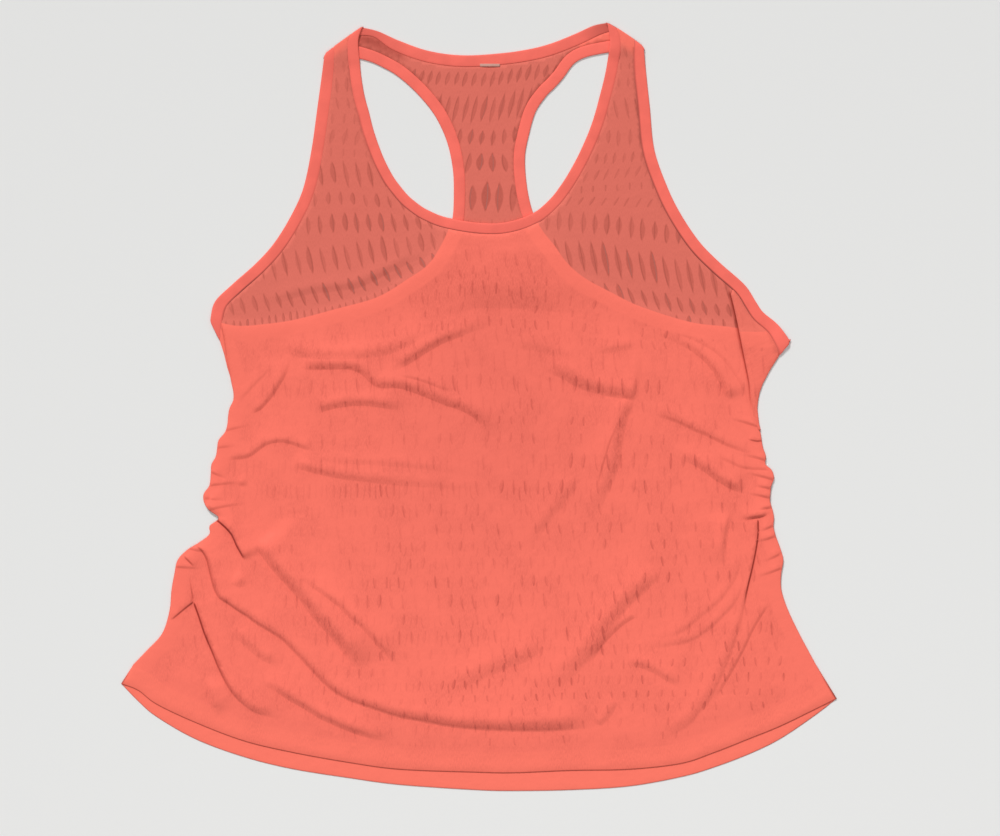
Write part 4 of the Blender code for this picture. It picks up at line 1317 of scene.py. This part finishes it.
def leaf_slots():
    """One knitted slot to each square of a chart: a soft-edged leaf, uneven from slot to
    slot, with a fine stroke bent along it."""
    group = bpy.data.node_groups.new("leaf_slots", "ShaderNodeTree")
    for label, kind in (
        ("Place", "NodeSocketVector"), ("Shape", "NodeSocketColor"), ("Wildness", "NodeSocketFloat"),
    ):
        group.interface.new_socket(label, in_out="INPUT", socket_type=kind)
    for label in ("Slot", "Stroke"):
        group.interface.new_socket(label, in_out="OUTPUT", socket_type="NodeSocketFloat")
    n = Nodes(group)
    given = n.add("NodeGroupInput")
    chart_x, chart_y = n.filled("ShaderNodeSeparateXYZ", {0: given.outputs[0]}).outputs[:2]
    half_length, half_breadth, how_open = n.filled("ShaderNodeSeparateColor", {0: given.outputs[1]}).outputs
    wildness = given.outputs[2]
    column = n.math("FLOOR", chart_x)
    row = n.math("FLOOR", chart_y)
    cell = n.filled("ShaderNodeCombineXYZ", {0: column, 1: row})
    odd = n.filled("ShaderNodeTexWhiteNoise", {"Vector": cell.outputs[0]}, noise_dimensions="2D")
    chance = odd.outputs["Value"]
    chances = n.filled("ShaderNodeSeparateColor", {0: odd.outputs["Color"]}).outputs
    level = n.minus(n.minus(chart_y, row), 0.5)
    level = n.math("ADD", level, n.times_plus(chances[0], 0.08, -0.04))
    place = n.minus(n.minus(chart_x, column), 0.5)
    place = n.math("ADD", place, n.times_plus(chances[1], 0.1, -0.05))
    tilt = n.times(n.times_plus(chances[0], 0.6, -0.3), wildness)
    place = n.times_plus(level, tilt, place)
    length = n.times(half_length, n.times_plus(chances[2], 0.2, 0.86))
    breadth = n.times(half_breadth, n.times_plus(chance, 0.3, 0.9))
    rise = n.math("DIVIDE", level, n.math("MAXIMUM", length, 0.01))
    leaf = n.minus(1.0, n.times(rise, rise))
    taper = n.math("POWER", n.math("MAXIMUM", leaf, 0.0), 1.4)
    body = n.ramp(n.minus(n.times(taper, breadth), n.unsigned(place)), -0.04, 0.09)
    to_side = n.times(breadth, n.times_plus(chance, 1.4, -0.7))
    thin = n.ramp(n.unsigned(n.minus(place, n.times(leaf, to_side))), 0.12, 0.0)
    stroke = n.times(thin, n.ramp(leaf, 0.0, 0.6))
    even = n.times_plus(chance, 0.5, 0.75)
    wild = n.times_plus(chances[1], 1.0, 0.3)
    openness = n.times(how_open, n.times_plus(n.minus(wild, even), wildness, even))
    both = n.math("MAXIMUM", n.times(body, 0.58), n.times(stroke, 1.1))
    n.filled("NodeGroupOutput", {0: n.times(both, openness), 1: n.times(stroke, openness)})
    return group


def jersey(slots):
    """Thin coral jersey: bright where cloth lies behind it, duller where it is single,
    with slots that show as darker leaves."""
    material, n, shader = new_material("coral_jersey")

    def leaves(pattern, shape):
        place = n.add("ShaderNodeUVMap", uv_map=pattern).outputs[0]
        leaf = n.add("ShaderNodeAttribute", attribute_name=shape).outputs
        values = {0: place, 1: leaf["Color"], 2: leaf["Alpha"]}
        return n.filled("ShaderNodeGroup", values, node_tree=slots).outputs

    def streaks(across, along, low, high):
        """Marks drawn out along the wales of the knit."""
        wales = n.filled("ShaderNodeMapping", {"Vector": cloth, "Scale": (across, along, 1.0)})
        return n.ramp(n.noise(wales.outputs[0], 5.0, 1.5), low, high)

    # Where the cloth is double: over other cloth and in the turned hem.
    cloth = n.add("ShaderNodeUVMap", uv_map="cloth").outputs[0]
    backing = n.attribute("backing")
    from_hem = n.attribute("from_hem")
    turned_hem = n.ramp(from_hem, HEM_DEPTH + 0.8, HEM_DEPTH - 0.8)
    backed = n.math("MAXIMUM", n.ramp(backing, -0.7, 0.7), turned_hem)
    past_binding = n.ramp(backing, 11.0, 14.0)

    # The slots, its own and those of the cloth behind, away from the hem and the sides.
    off_hem = n.ramp(from_hem, HEM_DEPTH + 1, HEM_DEPTH + 4)
    plain_edges = n.times(off_hem, n.ramp(n.attribute("from_sides"), 1.0, 24.0))
    own, beneath = leaves("slots", "leaf"), leaves("slots_behind", "leaf_behind")
    slot = n.times(own[0], plain_edges)
    stroke = n.times(own[1], plain_edges)
    behind = n.times(beneath[1], plain_edges)
    streaky = streaks(62.0, 7.0, 0.42, 0.72)
    broad_streaks = streaks(27.0, 6.0, 0.35, 0.65)
    dashes = streaks(48.0, 17.0, 0.63, 0.74)
    uneven = n.ramp(n.noise(cloth, 3.4, 5.0), 0.38, 0.64)

    # Single cloth, its slots darker, and duller where they are open widest.
    marked = n.times_plus(streaky, 0.22, slot, clamp=True)
    single = n.mix(marked, SINGLE_CLOTH, SINGLE_SLOT)
    single = n.mix(n.ramp(slot, 1.0, 1.2), single, WIDE_SLOT)

    # Double cloth, on which the slots are faint and show darker where painted shade lies on the creases'
    # slopes, and unevenly at random.
    drawn = n.times_plus(n.attribute("drawn"), 1.1, n.times_plus(uneven, 0.75, 0.35))
    faint = n.times_plus(slot, 0.6, n.times(stroke, 0.2))
    for marks, share in ((behind, 0.45), (dashes, 0.3), (broad_streaks, 0.2)):
        faint = n.times_plus(marks, share, faint)
    faint = n.times_plus(streaky, 0.13, n.times(faint, past_binding))
    faint = n.math("MULTIPLY", faint, drawn, clamp=True)
    # Duller where painted shade lies in the middle of the front, and unevenly at random.
    uneven_and_shaded = n.times_plus(uneven, 0.3, n.times(n.attribute("middle"), 0.7))
    plain = n.mix(uneven_and_shaded, DOUBLE_CLOTH, DULL_SHADED_CLOTH)
    plain = n.mix(past_binding, BAND_CLOTH, plain)
    plain = n.mix(turned_hem, plain, HEM_COLOUR)
    double = n.mix(faint, plain, DOUBLE_SLOT)

    colour = n.mix(backed, single, double)
    # Painted shade at the creases' feet, beside the side seam, under the front's hem and in the back neck's
    # hollow.
    colour = n.mix(n.attribute("painted_shade"), colour, FOLD_SHADE, blend="MULTIPLY")
    relief = n.times_plus(n.noise(cloth, 9.0, 4.0), 0.9, n.times(n.noise(cloth, 260.0, 2.0), 0.1))
    relief = n.minus(relief, n.times(slot, 0.1))
    knit_surface(n, shader, colour, 0.78, relief, 0.6, 0.0009)
    return material


def plain_cloth(name, colour, roughness, scale):
    """A plain cloth with fine knit relief, with painted shadow and shade where its measure "seam" says so.
    """
    material, n, shader = new_material(name)
    place = n.add("ShaderNodeTexCoord").outputs["Object"]
    darker, seam_shadow_colour = ((*(part * share for part in colour[:3]), 1) for share in (0.93, 0.22))
    even = n.mix(n.ramp(n.noise(place, 60.0, 2.0), 0.35, 0.65), darker, colour)
    # Painted shadow along a binding's seam and painted shade by the shoulders.
    colour = n.mix(n.attribute("seam"), even, seam_shadow_colour)
    knit_surface(n, shader, colour, roughness, n.noise(place, scale, 3.0), 0.35, 0.0004)
    return material


# ---------------------------------------------------------------- stage


def studio():
    """A plain pale floor, soft light from beyond the neck and a camera straight above."""
    paint, _, shader = new_material("floor")
    shader.inputs["Base Color"].default_value = FLOOR_COLOUR
    shader.inputs["Roughness"].default_value = 0.9
    bm = bmesh.new()
    bmesh.ops.create_grid(bm, x_segments=1, y_segments=1, size=4.0)
    finished("floor", bm, paint)

    def aimed(name, kind, place, energy):
        lamp = bpy.data.lights.new(name, kind)
        lamp.energy = energy
        light = linked(name, lamp)
        light.location = place
        light.rotation_euler = (-Vector(place)).to_track_quat("-Z", "Y").to_euler()
        return lamp

    aimed("window", "SUN", (-0.7, 2.0, 1.45), 2.7).angle = math.radians(14)
    aimed("overhead", "AREA", (0.1, -0.9, 2.5), 20).size = 2.2
    world = bpy.data.worlds.new("soft_room")
    bpy.context.scene.world = world
    world.use_nodes = True
    world.node_tree.nodes["Background"].inputs[0].default_value = (1, 1, 1, 1)
    world.node_tree.nodes["Background"].inputs[1].default_value = 0.345

    camera = bpy.data.cameras.new("camera")
    camera.sensor_width = 36.0
    camera.lens = camera.sensor_width * CAMERA_PLACE[2] / FRAME_WIDTH
    camera.dof.use_dof = False
    above = linked("camera", camera)
    above.location = CAMERA_PLACE
    bpy.context.scene.camera = above
    bpy.context.scene.view_settings.view_transform = "Standard"


def main():
    runs = runs_of_binding()
    lines = crease_lines()
    back_outline = back_outline_flat(runs)
    coral = jersey(leaf_slots())
    edging = plain_cloth("coral_binding", EDGING_COLOUR, 0.72, 900.0)
    tape = plain_cloth("pale_tape", TAPE_COLOUR, 0.6, 1200.0)

    front = front_panel(runs, back_outline, lines, coral)
    front_edge = np.concatenate([
        hem_line(1, 6), side_line(2, 6), runs["front_right"][0][::-1], runs["front_neck"][0][::-1],
        runs["front_left"][0], side_line(1, 6)[::-1],
    ])
    back = back_panel(runs, back_outline, front_edge, lines, coral)
    left, right, neck = (
        binding(f"{node}_edging", f"front_{run}", runs[f"front_{run}"], runs[f"back_{run}"],
                back_outline, edging)
        for node, run in (("armhole_binding_left", "left"), ("armhole_binding_right", "right"),
                          ("neck_binding", "neck"))
    )
    label = size_label(tape)

    for piece, node, slot in (
        (front, "front_panel", "jersey"), (back, "back_panel", "jersey"),
        (left, "armhole_binding_left", "binding"), (right, "armhole_binding_right", "binding"),
        (neck, "neck_binding", "binding"), (label, "neck_label", "label"),
    ):
        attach(piece, "root")
        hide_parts(node)
    studio()


main()
